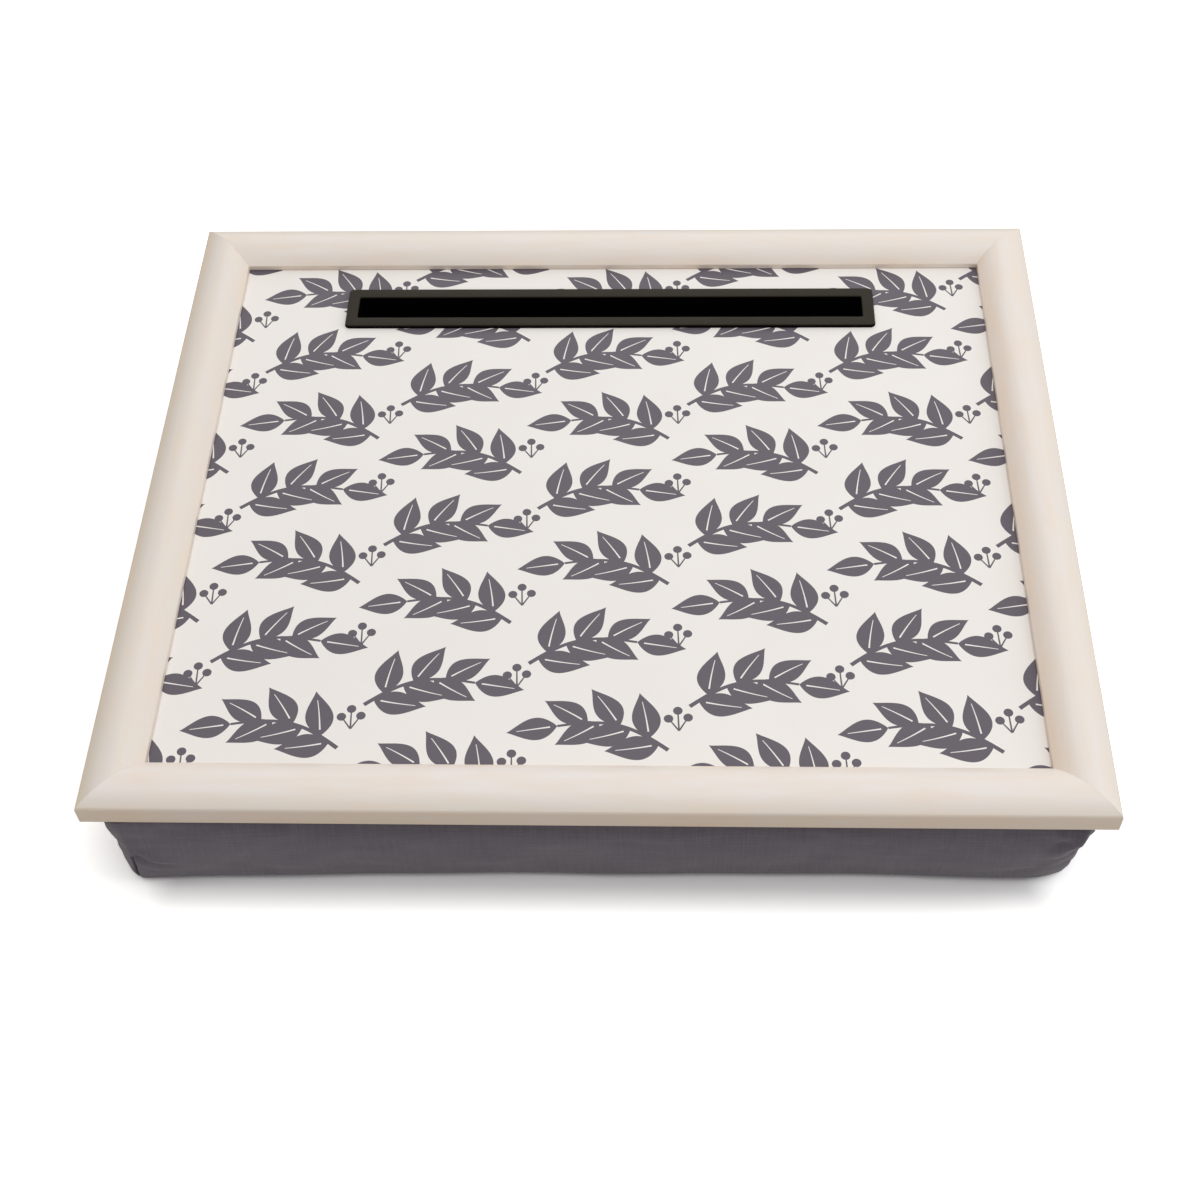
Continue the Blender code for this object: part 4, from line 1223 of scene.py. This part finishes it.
def cushion_shape():
    """The stuffed cushion: (points, quads, flat cloth places).

    The box is rounded, its sides are drawn in between the corners and blown up as cloth, less and
    less away from the corners. The folds are added along the outward direction, the corners are
    shaped, the slit is opened and the lid is fitted to the slot's tub and the tapes.
    """
    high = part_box("cushion_base_cover")[1]
    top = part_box("cushion_top_cover")[1].z
    half_x, half_y = high.x, high.y
    points, quads, flat = box_grid(half_x, half_y, top)
    placed, outward = rounded_box(points, half_x, half_y)
    x, y, z = points.T
    lid = z > top - TOUCHING
    edge = np.minimum(half_x - np.abs(x), half_y - np.abs(y))
    stuffed_box(x, y, outward, placed, edge, half_x, half_y, top)
    up = placed[:, 2].copy()
    held = lid | (up < HELD_AT_BASE) | (up > top - HELD_AT_TOP)
    from_corner = np.hypot(half_x - np.abs(x), half_y - np.abs(y))
    kept = 1 - CLOTH_CALM * smooth_rise(from_corner, 0, CLOTH_CALM_REACH)
    placed += settled_cloth(placed, quads, held) * kept[:, None]
    placed[:, 2] = np.clip(placed[:, 2], 0.0, top)
    relief = side_relief(x, y, up, outward, half_x, half_y)
    relief *= smooth_rise(up, *RELIEF_FOOT_HEIGHTS)
    relief *= smooth_rise(up, *[top - below for below in RELIEF_BELOW_TOP])
    placed[:, :2] += outward * np.where(edge < TOUCHING, relief, 0.0)[:, None]
    shape_corners(x, y, up, outward, placed, edge, half_x, half_y)
    open_slit(x, y, up, placed, half_x, half_y)
    shape_lid(x, y, lid, placed, edge)
    return placed, quads, flat


def make_cushion():
    """The cover as one closed skin over its filling."""
    points, quads, flat = cushion_shape()
    mesh = mesh_of("cushion", points, quads.tolist())
    set_uv(mesh, "cloth_cut", flat)
    piece = finished_piece("cushion", mesh, cloth_finish())
    smooth = piece.modifiers.new("smooth_cloth", "SUBSURF")
    smooth.levels = 1
    smooth.render_levels = 1
    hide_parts("cushion_base_cover", "cushion_top_cover", "bead_filling")


def dress_hidden_pieces():
    """Finishes for the pieces that stay as they are: board, nails, points and tapes."""
    finishes = {
        "tray_board": board_finish(),
        "corner_nail": steel_finish(),
        "tape": tape_finish(),
    }
    finishes["board_point"] = finishes["corner_nail"]
    for name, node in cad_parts.items():
        for key, finish in finishes.items():
            if key in name:
                node.data.materials.clear()
                node.data.materials.append(finish)


def make_stage():
    """Pale floor that reads white to the camera and still takes the tray's shadow.

    Its colour to the camera grows with the distance from a middle rectangle, in two ramps. Near the
    tray it is a painted shadow, darker than the floor further out.
    """
    half = FLOOR_SIZE / 2
    corners = [(-half, -half, 0), (half, -half, 0), (half, half, 0), (-half, half, 0)]
    mesh = bpy.data.meshes.new("floor")
    mesh.from_pydata(corners, [], [(0, 1, 2, 3)])
    floor = bpy.data.objects.new("floor", mesh)
    bpy.context.scene.collection.objects.link(floor)
    finish, tree, shader = new_finish("pale_floor", FLOOR_LIT_COLOUR, roughness=1.0)
    shader.inputs["Specular IOR Level"].default_value = 0.0
    place = piece_place(tree)
    beyond = []
    for axis, reach in zip("XY", FLOOR_REACH):
        outside = combine(tree, "ABSOLUTE", split(tree, place, axis), 0.0)
        outside = combine(tree, "MAXIMUM", combine(tree, "SUBTRACT", outside, reach), 0.0)
        beyond.append(combine(tree, "POWER", outside, 2.0))
    away = combine(tree, "SQRT", combine(tree, "ADD", *beyond), 0.0)
    # Painted shadow: near the tray the floor reads darker to the camera
    seen = blend_colours(tree, remap(tree, away, *FLOOR_SHADE_RAMP), FLOOR_NEAR_PAINTED_SHADE, FLOOR_FAR_COLOUR)
    seen = blend_colours(tree, remap(tree, away, *FLOOR_DISTANT_RAMP), seen, FLOOR_DISTANT_COLOUR)
    camera_ray = add_node(tree, "ShaderNodeLightPath").outputs["Is Camera Ray"]
    tree.links.new(blend_colours(tree, camera_ray, FLOOR_LIT_COLOUR, seen), shader.inputs["Base Color"])
    mesh.materials.append(finish)


def make_world():
    """Even light from all round, white where the camera or a reflection sees it."""
    world = bpy.data.worlds.new("studio")
    bpy.context.scene.world = world
    world.use_nodes = True
    tree = world.node_tree
    background = tree.nodes["Background"]
    rays = add_node(tree, "ShaderNodeLightPath")
    seen = combine(tree, "MAXIMUM", rays.outputs["Is Camera Ray"], rays.outputs["Is Glossy Ray"])
    seen = combine(tree, "MAXIMUM", seen, rays.outputs["Is Transmission Ray"])
    tree.links.new(remap(tree, seen, 0.0, 1.0, AMBIENT_STRENGTH, 1.0), background.inputs["Strength"])
    tree.links.new(blend_colours(tree, seen, AMBIENT_COLOUR, WHITE), background.inputs["Color"])


def make_softbox(name, place, size, power, colour):
    """A square soft light that faces the tray."""
    data = bpy.data.lights.new(name, "AREA")
    data.shape = "SQUARE"
    data.size = size
    data.energy = power
    data.color = colour
    light = bpy.data.objects.new(name, data)
    bpy.context.scene.collection.objects.link(light)
    light.location = place
    light.rotation_euler = (-light.location).to_track_quat("-Z", "Y").to_euler()


def make_camera():
    """The viewpoint: high in front of the tray."""
    data = bpy.data.cameras.new("camera")
    data.lens = CAMERA_LENS_MM
    data.sensor_width = SENSOR_WIDTH_MM
    camera = bpy.data.objects.new("camera", data)
    bpy.context.scene.collection.objects.link(camera)
    camera.location = CAMERA_PLACE
    camera.rotation_euler = [math.radians(angle) for angle in CAMERA_TURN_DEGREES]
    bpy.context.scene.camera = camera


DOME_END = dome_end(moulding_section())

bpy.context.scene.view_settings.view_transform = "Standard"
make_rails()
make_panel()
make_insert()
make_cushion()
dress_hidden_pieces()
make_stage()
make_world()
for lamp, settings in SOFTBOXES.items():
    make_softbox(lamp, *settings)
make_camera()
